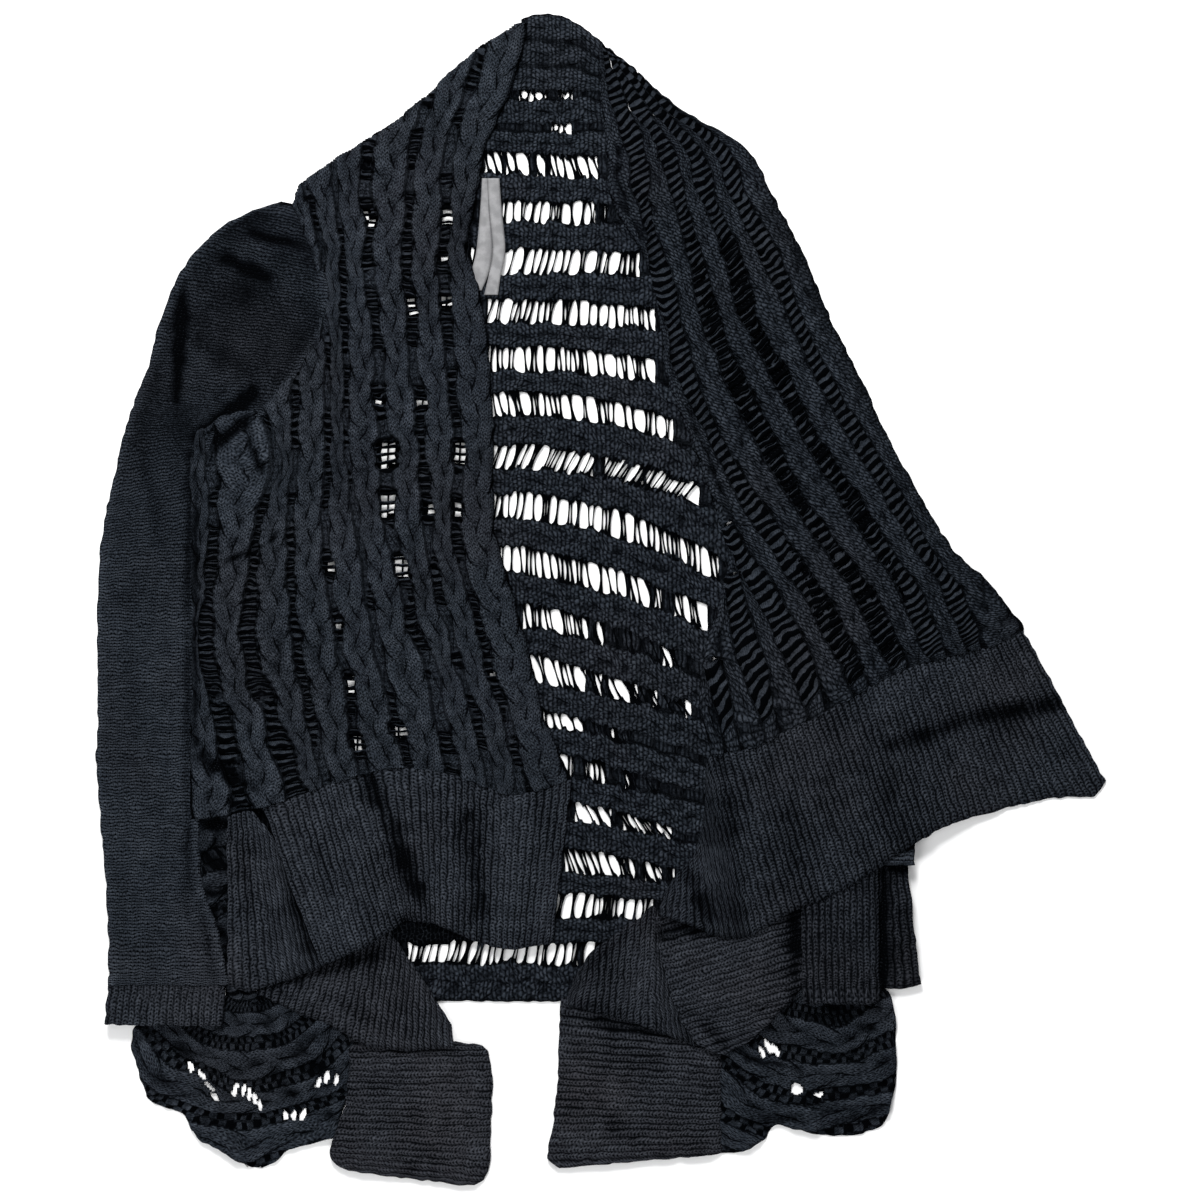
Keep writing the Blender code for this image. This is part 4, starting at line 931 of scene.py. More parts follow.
# ==== Left front =======================================================================
# The left end of the sideways knitted body, right side up: cotton plaits of three strands
# run down it, with ladders of dropped stitches between them. It lies on the back, is one
# piece with it at the neck, and its foot is knitted into the rib band.

LEFT_FRONT = columns(
    "x_a y_a x_b y_b",
    (-61, 433, -55, 433),
    (-91, 415, -58, 416),
    (-110, 399, -61, 401),
    (-132, 377, -68, 381),
    (-162, 354, -77, 361),
    (-196, 333, -86, 341),
    (-226, 312, -91, 315),
    (-232, 296, -96, 292),
    (-216, 266, -102, 264),
    (-206, 232, -91, 232),
    (-210, 198, -85, 198),
    (-225, 176, -83, 172),
    (-251, 145, -81, 142),
    (-281, 139, -80, 132),
    (-300, 126, -80, 118),
    (-306, 100, -81, 90),
    (-304, 52, -80, 52),
    (-304, 0, -67, 7),
    (-304, -45, -53, -42),
    (-305, -90, -44, -84),
    (-305, -120, -36, -112),
)
# Where the left front meets its rib band
LEFT_JOIN = columns(
    "x y",
    (-304, -165), (-253, -156), (-205, -140), (-157, -127), (-111, -132), (-65, -147),
    (-22, -136),
)
# Ladders of the left front: x at these heights, and half the width of each at its foot
LADDER_Y = (412, 337, 262, 187, 112, 37, -38, -113, -150)
LEFT_LADDERS = columns(
    "collar shoulder cap chest waist belly hip join foot width_above width_below",
    (-300, -300, -300, -300, -292, -290, -295, -277, -268, 3, 6.5),
    (-270, -270, -270, -268, -254, -259, -262, -238, -226, 2, 6.5),
    (-240, -240, -232, -226, -232, -232, -227, -212, -205, 2, 3),
    (-226, -226, -209, -205, -205, -205, -196, -182, -176, 2, 2.5),
    (-190, -199, -194, -191, -190, -179, -166, -149, -143, 2, 2.5),
    (-150, -173, -175, -166, -160, -154, -130, -115, -110, 3.6, 4.2),
    (-118, -139, -145, -141, -134, -127, -109, -87, -80, 3.0, 3.2),
    (-90, -113, -117, -113, -106, -106, -85, -65, -58, 3.2, 3.0),
)
FRONT_TOP = 433          # height of the collar's top
FRONT_FOOT = -96         # height below which the rows turn to follow the join
ROW_STEP = 1.2           # of the fine grid
RUNG_ROWS = 5.0          # rows of the grid to a rung and its slit
FOOT_ROWS = 40           # rows from there to the join
FOOT_STEP = 1.25
PLAIT_SHIFT = 41         # how far each plait's crossings lie along from its neighbour's
WIDEST_HALF = 15.0       # half the width that a plait's strands fill at most


def join_height(join, x):
    """The join's height at x, on a smooth curve through its points."""
    return smooth_at(join["y"], np.interp(x, join["x"], range(len(join["x"]))))


front_y = np.arange(FRONT_TOP, FRONT_FOOT, -ROW_STEP)
front_rows = len(front_y) + FOOT_ROWS
level = np.concatenate([front_y, front_y[-1] - (np.arange(FOOT_ROWS) + 1) * FOOT_STEP])
ladder_table = np.array(list(LEFT_LADDERS.values())[:len(LADDER_Y)])
ladder_count = ladder_table.shape[1]
ladder_place = np.interp(-level, -np.array(LADDER_Y), range(len(LADDER_Y)))
ladder_x = np.array([smooth_at(ladder_table[:, i], ladder_place)
                     for i in range(ladder_count)]).T
lower_share = ease((60 - level) / 120)
ladder_half = (LEFT_LADDERS["width_above"][None, :] * (1 - lower_share[:, None])
               + LEFT_LADDERS["width_below"][None, :] * lower_share[:, None])
ladder_number = np.arange(ladder_count)[None, :]
ladder_half = ladder_half * (1 + 0.35 * uneven(ladder_number * 40, level[:, None], 22, 21))
ladder_x = ladder_x + 1.0 * uneven(ladder_number * 60, level[:, None], 26, 26)
# The curl by the sleeve: the plait there swells, and the ladders beside it bend round it
CURL_X, CURL_Y = -270.0, 110.0
round_curl = np.exp(-((level - CURL_Y) / 32) ** 2)
ladder_x[:, 1] += 12 * round_curl
ladder_x[:, 2] += 4 * round_curl
for x, y, wide, tall in zip(*LEFT_GAPS.values()):
    row = np.abs(level - y).argmin()
    nearest = np.abs(ladder_x[row] - x).argmin()
    if abs(ladder_x[row, nearest] - x) < 16:
        ladder_x[:, nearest] += (x - ladder_x[row, nearest]) * np.exp(-((level - y) / 16) ** 2)
        widened = (wide / 2 + 1.2) * np.exp(-np.maximum(abs(level - y) - tall / 2, 0) ** 2 / 40)
        ladder_half[:, nearest] = np.maximum(ladder_half[:, nearest], widened)
left_side = np.interp(-level, -LEFT_FRONT["y_a"], LEFT_FRONT["x_a"])
right_side = np.interp(-level, -LEFT_FRONT["y_b"], LEFT_FRONT["x_b"])
into_foot = np.clip((-95 - level) / 50, 0, 1)
right_side = np.where(into_foot > 0, -39 + 17 * into_foot, right_side)
BULGE = 0.5              # how far a plait's strands swell over its ladders


def swell(along, stretch, side):
    """How far a plait's side stands out where one of its strands turns back."""
    turn = (along + PLAIT_SHIFT * stretch) / PLAIT_TURN
    return BULGE * np.cos(6 * math.pi * turn - side * 1.5 * math.pi)


def lines_across(edges, ladder_steps, plait_steps, last_steps, width=1.0):
    """Grid lines down a front, between the edges of its plaits and ladders, turn about.

    Gives the place of each, its millimetres from the middle of its stretch, half of the
    stretch's width, whether that is a ladder, its number, and the share across it.
    """
    places, offsets, halves, ladders, numbers, across = [], [], [], [], [], []
    last = len(edges) - 2
    for stretch in range(len(edges) - 1):
        start, end = edges[stretch], edges[stretch + 1]
        is_ladder = stretch % 2 == 1
        steps = ladder_steps if is_ladder else (last_steps if stretch == last else plait_steps)
        for step in range(steps + (stretch == last)):
            share = step / steps
            places.append(start + (end - start) * share)
            offsets.append((end - start) * (share - 0.5) * width)
            halves.append(np.maximum((end - start) * width / 2, 1.0))
            ladders.append(int(is_ladder))
            numbers.append(stretch)
            across.append(share)
    places, offsets, halves = [np.array(lines).T for lines in (places, offsets, halves)]
    return places, offsets, halves, np.array(ladders), np.array(numbers), np.array(across)


left_side = left_side - 3 * ease((290 - level) / 20)
edges = [left_side]
for i in range(ladder_count):
    edges += [ladder_x[:, i] - ladder_half[:, i] + swell(-level, 2 * i, 1),
              ladder_x[:, i] + ladder_half[:, i] - swell(-level, 2 * i + 2, -1)]
edges.append(right_side)
front_xs, offset, half_width, in_ladder, stretch_of, _ = lines_across(edges, 5, 10, 16)
side_left = left_side[:, None]
side_right = right_side[:, None]
front_xs = np.clip(front_xs, side_left, side_right)
front_ys = np.tile(level[:, None], front_xs.shape[1])
foot_share = np.clip((np.arange(front_rows) - len(front_y) + 1) / FOOT_ROWS, 0, 1)[:, None]
join_ys = join_height(LEFT_JOIN, front_xs) + 0.3
front_ys = np.where(foot_share > 0, front_y[-1] + (join_ys - front_y[-1]) * foot_share, front_ys)
sway = 1.6 * uneven(front_xs, front_ys, 17, 22) + 1.0 * uneven(front_xs, front_ys, 8, 23)
near_side = ease((front_xs - side_left) / 8) * ease((side_right - front_xs) / 8)
inner = (ease((level[:, None] - FRONT_FOOT) / 20)
         * ease((FRONT_TOP - level[:, None]) / 15))
front_ys += sway * near_side * inner
along = -front_ys + PLAIT_SHIFT * stretch_of[None, :]
widest = WIDEST_HALF + 12.0 * round_curl[:, None] * (stretch_of == 2)
plait_across = offset / np.minimum(half_width + 0.8, widest)
ladder_part = in_ladder[None, :] * np.ones_like(front_xs)
rung_turn = np.arange(front_rows)[:, None] / RUNG_ROWS * np.ones_like(front_xs)
curl = np.exp(-((front_xs - CURL_X) / 16) ** 2 - ((front_ys - CURL_Y) / 22) ** 2)
# Stretches where a ladder has drawn shut; the two at the lower left gape all the way
gaping = ease((-212 - front_xs) / 8) * ease((70 - front_ys) / 30)
closed = ease(2.0 * uneven(front_xs, front_ys, 15, 40) + 0.45 + 2 * curl - 1.6 * gaping)
for x, y, wide, tall in zip(*LEFT_GAPS.values()):
    closed *= ease(np.hypot(front_xs - x, front_ys - y) / 12 - 0.6)
braid = plait(np.clip(plait_across, -1.2, 1.2), along)
rung_wave = np.cos(2 * math.pi * rung_turn)
cable_top = 3.8 + 2.5 * np.maximum(braid, -0.25) + 0.9 * uneven(front_xs, front_ys, 6, 24)
cable_top += 1.2 * uneven(front_xs, front_ys, 34, 28) + 1.2 * curl
rung_top = 1.8 + 1.3 * np.maximum(rung_wave, -0.5) * np.ones_like(front_xs) + 1.3 * closed
relief = softened(np.where(ladder_part == 1, rung_top, cable_top))
# Folds, sunk and painted darker as shade: round the curl, and where the front bends over what lies
# beneath it
FRONT_CREASES = (
    (-262, 138, -297, 112, 6, 3.4), (-262, 118, -254, 96, 4, 2.4),
    (-282, 28, -252, 41, 3.0, 2.4), (-252, 41, -241, 49, 3.0, 2.0),
    (-298, -118, -262, -142, 6, 3.6), (-276, -153, -257, -165, 4, 3.0),
    (-304, 95, -304, -110, 3, 2.2),
    (-225, 312, -208, 262, 3, 1.6), (-208, 262, -211, 198, 3, 1.6),
    (-211, 198, -240, 160, 3, 1.4),
)
depth = creased(front_xs, front_ys, FRONT_CREASES)
front_top = LEVEL_1 + np.clip(relief - depth, 0.4, 8.0)
cell_ladder = (in_ladder[:-1] == 1)[None, :]
cell_turn = (np.arange(front_rows - 1)[:, None] + 0.5) / RUNG_ROWS
cell_x, cell_y = cell_middles(front_xs, front_ys)
opened = np.full(cell_x.shape, -0.35)
for x, y, wide, tall in zip(*LEFT_GAPS.values()):
    near = np.maximum(abs(cell_x - x) / (wide / 2 + 3), abs(cell_y - y) / (tall / 2 + 2))
    opened = np.where(near < 1, 0.5, opened)
open_cell = np.cos(2 * math.pi * cell_turn) < opened
tight = (closed[:-1, :-1] > 0.5) & (opened < 0)
over_back = cell_x > np.interp(cell_y, BACK_LEFT["y"], BACK_LEFT["x"]) + 4
front_kept = ~(cell_ladder & open_cell & ~tight & over_back)
# Painted light: darker in creases and between strands, lighter on high places, bare rungs kept half
# lit
front_painted_light = stood_up(front_top, 2, 4.0) - 0.14 * depth
front_painted_light += 0.10 * uneven(front_xs, front_ys, 45, 29)
front_painted_light = np.where(ladder_part == 1, np.maximum(front_painted_light, 0.50 - 0.12 * depth), front_painted_light)
ladder_across = np.where(closed > 0.5, 0.3 * offset / half_width, offset)
front_yarn = stacked(np.where(ladder_part == 1, ladder_across, plait_across), along,
                     np.clip(front_painted_light, 0, 1))
front_make = stacked(ladder_part * (1 - 0.75 * closed), rung_turn, 0)
left_front = knit_shell("left_front_cloth", front_xs, front_ys,
                        np.full_like(front_top, LEVEL_1), front_top,
                        front_kept, front_yarn, front_make, joined=("last",))
right_side_knit = knit_material("navy_right_side", relief=0.0010, wale=3.3, strands=1.0,
                                stitch_light=1.1)
left_front.data.materials.append(right_side_knit)
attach(left_front, "root")
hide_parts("left_front")

# ==== Right front ======================================================================
# The other end of the body, flipped open over the right sleeve, so its wrong side shows:
# flat purl cables and wide ladders whose rungs slant up to the right. Its inner side is
# the fold where it leaves the back.

OVER_SLEEVE = 7.6        # underside where it covers the sleeve
RIGHT_FRONT = columns(
    "x_a y_a x_b y_b lift",
    (-1, 419, 8, 414, 0),
    (0, 378, 60, 369, 0),
    (4, 337, 108, 340, 0.3),
    (8, 300, 131, 300, 1),
    (33, 255, 155, 253, 1),
    (44, 210, 173, 210, 1),
    (50, 165, 196, 165, 1),
    (67, 120, 217, 120, 1),
    (83, 75, 242, 75, 1),
    (95, 33, 266, 36, 1),
    (89, 0, 292, 13, 1),
    (79, -34, 308, -8, 1),
    (74, -75, 316, -17, 1),
    (83, -118, 318, -23, 1),
)
RIGHT_LADDERS = columns(
    "s1 s2 s3 s4 s5 s6 s7 s8 s9 s10 s11 s12 s13",
    (0, 0, 0, 0, 0, 0, 0, 0, 0, 0, 0, .07, .07),
    (0, 0, 0, 0, 0, 0, 0, 0, 0, .06, .13, .19, .20),
    (0, 0, 0, 0, 0, 0, 0, 0, .06, .18, .27, .33, .34),
    (.22, .22, .20, .08, .08, .11, .13, .18, .26, .35, .42, .47, .48),
    (.44, .43, .42, .32, .30, .35, .38, .41, .48, .53, .57, .60, .61),
    (.64, .62, .60, .55, .53, .59, .61, .66, .69, .70, .71, .72, .73),
    (.84, .82, .79, .79, .80, .81, .85, .87, .87, .85, .84, .84, .84),
)
RIGHT_JOIN = columns(
    "x y",
    (83, -118), (108, -113), (138, -100), (168, -85), (198, -68), (228, -53), (261, -43),
    (292, -36), (308, -30), (318, -24),
)
SLANT = 5.0              # how far a rung rises from the middle of its ladder to its side
PLAIN_FOOT = 13.0        # length above the band where the ladders have stopped
FLIP_SHIFT = 29          # how far each plait's crossings lie along from its neighbour's
LADDER_HALF = 6.6        # half of a ladder's width

travelled = np.concatenate([[0], middle_spans(RIGHT_FRONT, "a", "b").cumsum()])
flip_rows = int(travelled[-1] / ROW_STEP)
travel = np.linspace(0, travelled[-1], flip_rows)
place = np.interp(travel, travelled, range(len(travelled)))
x_a, y_a, x_b, y_b = values_at(RIGHT_FRONT, "x_a y_a x_b y_b", place)
width = np.hypot(x_b - x_a, y_b - y_a)
shares = [smooth_at(line, np.maximum(place - 1, 0))
          for line in np.array(list(RIGHT_LADDERS.values())).T]
half = LADDER_HALF / np.maximum(width, 60)
edges = [np.zeros(flip_rows)]
for share in shares:
    gone = share < 0.02
    wobble = 1 + 0.35 * uneven(share * 300, travel, 20, 31)
    edges += [np.where(gone, 0, np.maximum(share - half * wobble, 0)),
              np.where(gone, 0, share + half * wobble)]
edges.append(np.ones(flip_rows))
edges = list(np.maximum.accumulate(np.array(edges), axis=0))
flip_shares, offset, half_width, in_ladder, flip_stretch, across = lines_across(
    edges, 8, 9, 9, width)
flip_shares = np.clip(flip_shares, 0, 1)
flip_ladder = in_ladder[None, :] * (travel[:, None] < travelled[-1] - PLAIN_FOOT)
flip_stretch = flip_stretch[None, :]
zig = (2 * across - 1) * np.where(in_ladder, 1, -1)
inner_rows = ease((travel[:, None] - 4) / 14) * ease((travelled[-1] - travel[:, None] - 4) / 14)
inner_share = ease(flip_shares * width[:, None] / 6) * ease((1 - flip_shares) * width[:, None] / 6)
slant = -SLANT * zig * inner_rows * inner_share * np.minimum(half_width / 7, 1)
slant += (1.3 * uneven(offset + 40 * flip_stretch, travel[:, None], 11, 32)
          * inner_rows * inner_share)
moved = np.interp(travel[:, None] + slant, travelled, range(len(travelled)))
x_a, y_a, x_b, y_b, lift = values_at(RIGHT_FRONT, "x_a y_a x_b y_b lift", moved)
flip_xs = x_a + (x_b - x_a) * flip_shares
flip_ys = y_a + (y_b - y_a) * flip_shares
# The last stretch is drawn out from its straight foot to the curved join with the band
near_join = np.maximum(moved - (len(travelled) - 2), 0)
foot = {key: values[-1] for key, values in RIGHT_FRONT.items()}
straight = foot["y_a"] + (foot["y_b"] - foot["y_a"]) * flip_shares
join_xs = foot["x_a"] + (foot["x_b"] - foot["x_a"]) * flip_shares
flip_ys += near_join * (join_height(RIGHT_JOIN, join_xs) + 0.3 - straight)
flip_along = travel[:, None] + FLIP_SHIFT * flip_stretch
flip_across = offset / np.minimum(half_width + 1, WIDEST_HALF)
braid = plait(np.clip(flip_across, -1.2, 1.2), flip_along)
rung_turn = np.arange(flip_rows)[:, None] / RUNG_ROWS * np.ones_like(flip_xs)
cable_top = (2.4 + 1.4 * np.maximum(braid, -0.4) + 1.2 * uneven(flip_xs, flip_ys, 7, 33)
             + 1.6 * np.cos(np.clip(offset / half_width, -1, 1) * math.pi / 2))
rung_top = 1.7 + 1.4 * np.maximum(np.cos(2 * math.pi * rung_turn), -0.5)
relief = softened(np.where(flip_ladder == 1, rung_top, cable_top))
plateau = ease(flip_shares / 0.2) * ease((1 - flip_shares) / 0.2)
flip_under = np.maximum(OVER_SLEEVE * np.clip(lift, 0, 1.05) * plateau, 0)
flip_under = np.maximum(flip_under, 3.8 * ease(1 - flip_shares * width[:, None] / 14))
flip_top = flip_under + np.clip(relief, 0.5, 6.0)
cell_turn = (np.arange(flip_rows - 1)[:, None] + 0.5) / RUNG_ROWS
open_cell = np.cos(2 * math.pi * cell_turn) < -0.35
cell_x, cell_y = cell_middles(flip_xs, flip_ys)
tight = uneven(cell_x, cell_y, 8, 34) < -0.5
on_sleeve = cell_x > np.interp(-cell_y, -RIGHT_SLEEVE["y_a"], RIGHT_SLEEVE["x_a"]) + 6
on_sleeve &= cell_x < np.interp(-cell_y, -RIGHT_SLEEVE["y_b"], RIGHT_SLEEVE["x_b"]) - 6
on_sleeve &= cell_y < 270
wide_slit = uneven(cell_turn * 3.3, 4.0 * flip_stretch[:, :-1], 1.0, 35) > 0.35
open_cell = open_cell | (wide_slit & (np.cos(2 * math.pi * cell_turn) < 0.5))
flip_kept = ~((flip_ladder[:-1, :-1] == 1) & open_cell & ~tight & on_sleeve)
# Painted light: darker in hollows, lighter on high places, bare rungs kept lit, plaits a little
# darker
flip_painted_light = stood_up(flip_top, 3, 3.4) + 0.10 * uneven(flip_xs, flip_ys, 40, 36)
flip_painted_light = np.where(flip_ladder == 1, np.maximum(flip_painted_light, 0.56), flip_painted_light - 0.04)
flip_yarn = stacked(np.where(flip_ladder == 1, offset, flip_across), flip_along,
                    np.clip(flip_painted_light, 0, 1))
right_front = knit_shell("right_front_cloth", flip_xs, flip_ys, flip_under, flip_top, flip_kept,
                         flip_yarn, stacked(flip_ladder, rung_turn, 0), joined=("last",))
right_front.data.materials.append(wrong_side)
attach(right_front, "root")
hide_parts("right_front")

# ==== Rib bands ========================================================================
# Wide bands of one by one rib at both short ends of the body, picked up along its edge
# and folded over as they fall. The same cotton, a little more faded at the ends.

RIB_PITCH = 5.0
RIB_LINES = 6            # grid lines to a rib
RIB_STEP = 2.6           # length of one row of faces along a rib
BAND = "x_join y_join x_edge y_edge under_join under_edge"
LEFT_BAND_FRONT = columns(
    BAND,
    (-254, -158, -210, -275, LEVEL_1, LEVEL_2),
    (-235, -151, -196, -269, LEVEL_1, LEVEL_2 + 2),
    (-212, -143, -177, -261, LEVEL_1, LEVEL_2 + 3),
    (-192, -134, -157, -248, LEVEL_1, LEVEL_2 + 2),
    (-175, -129, -148, -242, LEVEL_1, LEVEL_1),
    (-157, -126, -142, -241, LEVEL_1, LEVEL_1),
    (-136, -127, -130, -242, LEVEL_1, LEVEL_1 + 3),
    (-111, -133, -113, -248, LEVEL_1, LEVEL_1 + 3),
    (-85, -145, -89, -258, LEVEL_1, LEVEL_1),
    (-65, -147, -70, -262, LEVEL_1, LEVEL_1 + 3),
    (-42, -147, -53, -261, LEVEL_1, LEVEL_1 + 2),
    (-22, -137, -36, -258, LEVEL_1, LEVEL_1),
)
LEFT_BAND_UNDER = columns(
    BAND,
    (-280, -169, -279, -290, LEVEL_1, LEVEL_1),
    (-271, -166, -265, -294, LEVEL_1, LEVEL_1),
    (-260, -166, -247, -289, LEVEL_1, LEVEL_1),
    (-242, -190, -225, -282, LEVEL_1, LEVEL_1),
    (-226, -230, -206, -274, LEVEL_1, LEVEL_1),
)
LEFT_BAND_TURN = columns(
    BAND,
    (-254, -291, -255, -297, 0, LEVEL_1),
    (-237, -286, -241, -303, 0, LEVEL_1),
    (-210, -275, -222, -311, 0, LEVEL_1),
    (-188, -267, -200, -318, 0, LEVEL_1),
    (-169, -262, -179, -330, 0, LEVEL_1),
    (-155, -272, -162, -334, 0, LEVEL_1),
    (-142, -287, -145, -336, 0, LEVEL_1),
    (-127, -303, -127, -336, 0, LEVEL_1),
    (-112, -323, -110, -336, 0, LEVEL_1),
)
LEFT_BAND_END = columns(
    BAND,
    (-187, -327, -98, -335, 0, 0),
    (-187, -339, -87, -338, 0, 0),
    (-187, -357, -82, -357, 0, 0),
    (-189, -379, -82, -383, 0, 0),
    (-197, -402, -83, -405, 0, 0),
    (-200, -417, -84, -425, 0, 0),
    (-190, -428, -90, -438, 0, 0),
    (-170, -432, -105, -440, 0, 0),
)
RIGHT_BAND_FRONT = columns(
    BAND,
    (43, -229, 41, -235, LEVEL_2, LEVEL_2),
    (53, -211, 49, -238, LEVEL_2, LEVEL_2),
    (67, -196, 67, -245, 4, LEVEL_2),
    (74, -180, 86, -252, 1, LEVEL_2),
    (78, -151, 100, -254, 1, LEVEL_2),
    (83, -118, 116, -250, 1, LEVEL_2),
    (108, -113, 142, -234, 4, LEVEL_2 + 4),
    (138, -100, 176, -220, OVER_SLEEVE, LEVEL_2 + 4),
    (168, -85, 209, -200, OVER_SLEEVE, LEVEL_2 + 4),
    (198, -68, 236, -182, OVER_SLEEVE, LEVEL_2 + 4),
    (228, -53, 266, -167, OVER_SLEEVE, OVER_SLEEVE),
    (261, -43, 303, -157, OVER_SLEEVE - 2, 1),
    (292, -36, 344, -149, 3, 0),
    (308, -30, 370, -148, 1, 0),
    (318, -24, 379, -136, 0, 0),
)
RIGHT_BAND_UNDER = columns(
    BAND,
    (46, -243, 149, -215, LEVEL_1, LEVEL_1),
    (50, -263, 149, -235, LEVEL_1, LEVEL_1),
    (56, -289, 148, -259, LEVEL_1, LEVEL_1),
    (64, -312, 147, -289, LEVEL_1, LEVEL_1),
    (74, -331, 127, -315, LEVEL_1, LEVEL_1),
    (94, -341, 111, -332, LEVEL_1, LEVEL_1),
)
RIGHT_BAND_TURN = columns(
    BAND,
    (-22, -288, -27, -304, LEVEL_1, LEVEL_1),
    (-9, -269, -15, -307, LEVEL_1, LEVEL_1),
    (8, -257, 4, -312, LEVEL_1, LEVEL_1),
    (28, -244, 22, -317, LEVEL_1, LEVEL_1),
    (42, -238, 42, -324, LEVEL_1, LEVEL_1),
    (55, -286, 68, -334, LEVEL_1, LEVEL_1),
)
RIGHT_BAND_END = columns(
    BAND,
    (-30, -304, 86, -323, 0, 0),
    (-32, -338, 88, -345, 0, 0),
    (-33, -368, 89, -375, 0, 0),
    (-37, -398, 89, -398, 0, 0),
    (-40, -419, 88, -415, 0, 0),
    (-31, -428, 75, -418, 0, 0),
)
RIGHT_CUFF_FOLD = columns(
    BAND,
    (210, -199.1, 210, -291, LEVEL_1, LEVEL_1),
    (220, -199.1, 226, -292, LEVEL_1, LEVEL_1),
    (230, -199.1, 240, -289, LEVEL_1, LEVEL_1),
)


def rib_wave(turns):
    """Height of a one by one rib: round ridges with narrow furrows, one to a turn."""
    return np.abs(np.sin(math.pi * turns)) ** 0.6


def tucked(table, start, end):
    """The table with its first and last rib lines moved out, to tuck under a neighbour."""
    wider = {}
    spans = middle_spans(table, "join", "edge")
    for key, values in table.items():
        values = values.copy()
        if key.startswith(("x_", "y_")):
            values[0] += (values[0] - values[1]) / spans[0] * start
            values[-1] += (values[-1] - values[-2]) / spans[-1] * end
        wider[key] = values
    return wider


# Folds and hollows of each band: x y x y of the ends, how far each reaches, how deep
BAND_CREASES = {
    "left_band_front": (
        (-177, -128, -158, -170, 7, 3.6), (-158, -170, -134, -226, 8, 4.0),
        (-98, -165, -88, -252, 9, 2.4), (-222, -160, -196, -230, 6, 1.0),
        (-45, -150, -56, -255, 6, 0.9), (-160, -240, -130, -240, 6, 2.4)),
    "left_band_under": ((-268, -160, -262, -286, 5, 1.0), (-232, -215, -214, -268, 8, 3.0)),
    "left_band_turn": (
        (-254, -292, -196, -272, 7, 2.6), (-196, -272, -158, -268, 9, 3.4),
        (-205, -300, -150, -322, 6, 1.0), (-172, -296, -134, -314, 5, 0.9)),
    "left_band_end": (
        (-187, -334, -92, -342, 5, 1.8), (-196, -372, -120, -362, 7, 0.9),
        (-196, -396, -100, -392, 6, 0.7), (-150, -334, -140, -430, 14, 0.7)),
    "right_band_front": (
        (212, -112, 286, -87, 6, 2.2), (270, -91, 360, -74, 7, 2.8),
        (90, -116, 108, -246, 6, 1.0), (62, -200, 82, -236, 6, 2.2),
        (130, -110, 156, -222, 14, 0.8), (196, -74, 222, -184, 10, 0.9)),
    "right_band_under": (
        (47, -252, 146, -222, 8, 3.4), (66, -310, 100, -338, 5, 2.0),
        (146, -224, 146, -290, 8, 3.2)),
    "right_band_turn": ((-20, -300, 40, -318, 5, 1.6), (46, -250, 66, -326, 5, 2.6),
                        (-18, -284, 20, -252, 4, 1.0)),
    "right_band_end": (
        (-28, -312, 84, -336, 5, 2.0), (-28, -376, 30, -406, 9, 1.6),
        (0, -330, 84, -398, 12, 0.8), (60, -340, 86, -372, 8, 1.0)),
    "right_cuff_fold": ((212, -199, 211, -290, 4, 2.6), (214, -199, 236, -199, 8, 2.6)),
}


# What shows of each band, laid out: metres across its ribs, along them, and its area;
# and what it lies on
BAND_CUTS = {
    "left_band_front": (0.245, 0.120, 0.0250, ["back_cloth", "left_band_under_cloth"]),
    "left_band_under": (0.078, 0.127, 0.0067, ["back_cloth"]),
    "left_band_turn": (0.149, 0.094, 0.0077, ["back_cloth", "left_cascade_cloth"]),
    "left_band_end": (0.123, 0.121, 0.0120, ["table_top"]),
    "right_band_front": (0.390, 0.136, 0.0380, ["right_sleeve_cloth", "right_band_under_cloth"]),
    "right_band_under": (0.119, 0.135, 0.0110, ["right_sleeve_cloth", "right_band_end_cloth"]),
    "right_band_turn": (0.098, 0.106, 0.0053, ["back_cloth", "right_band_end_cloth"]),
    "right_band_end": (0.133, 0.132, 0.0145, ["table_top"]),
    "right_cuff_fold": (0.033, 0.102, 0.0027, ["right_cascade_cloth"]),
}


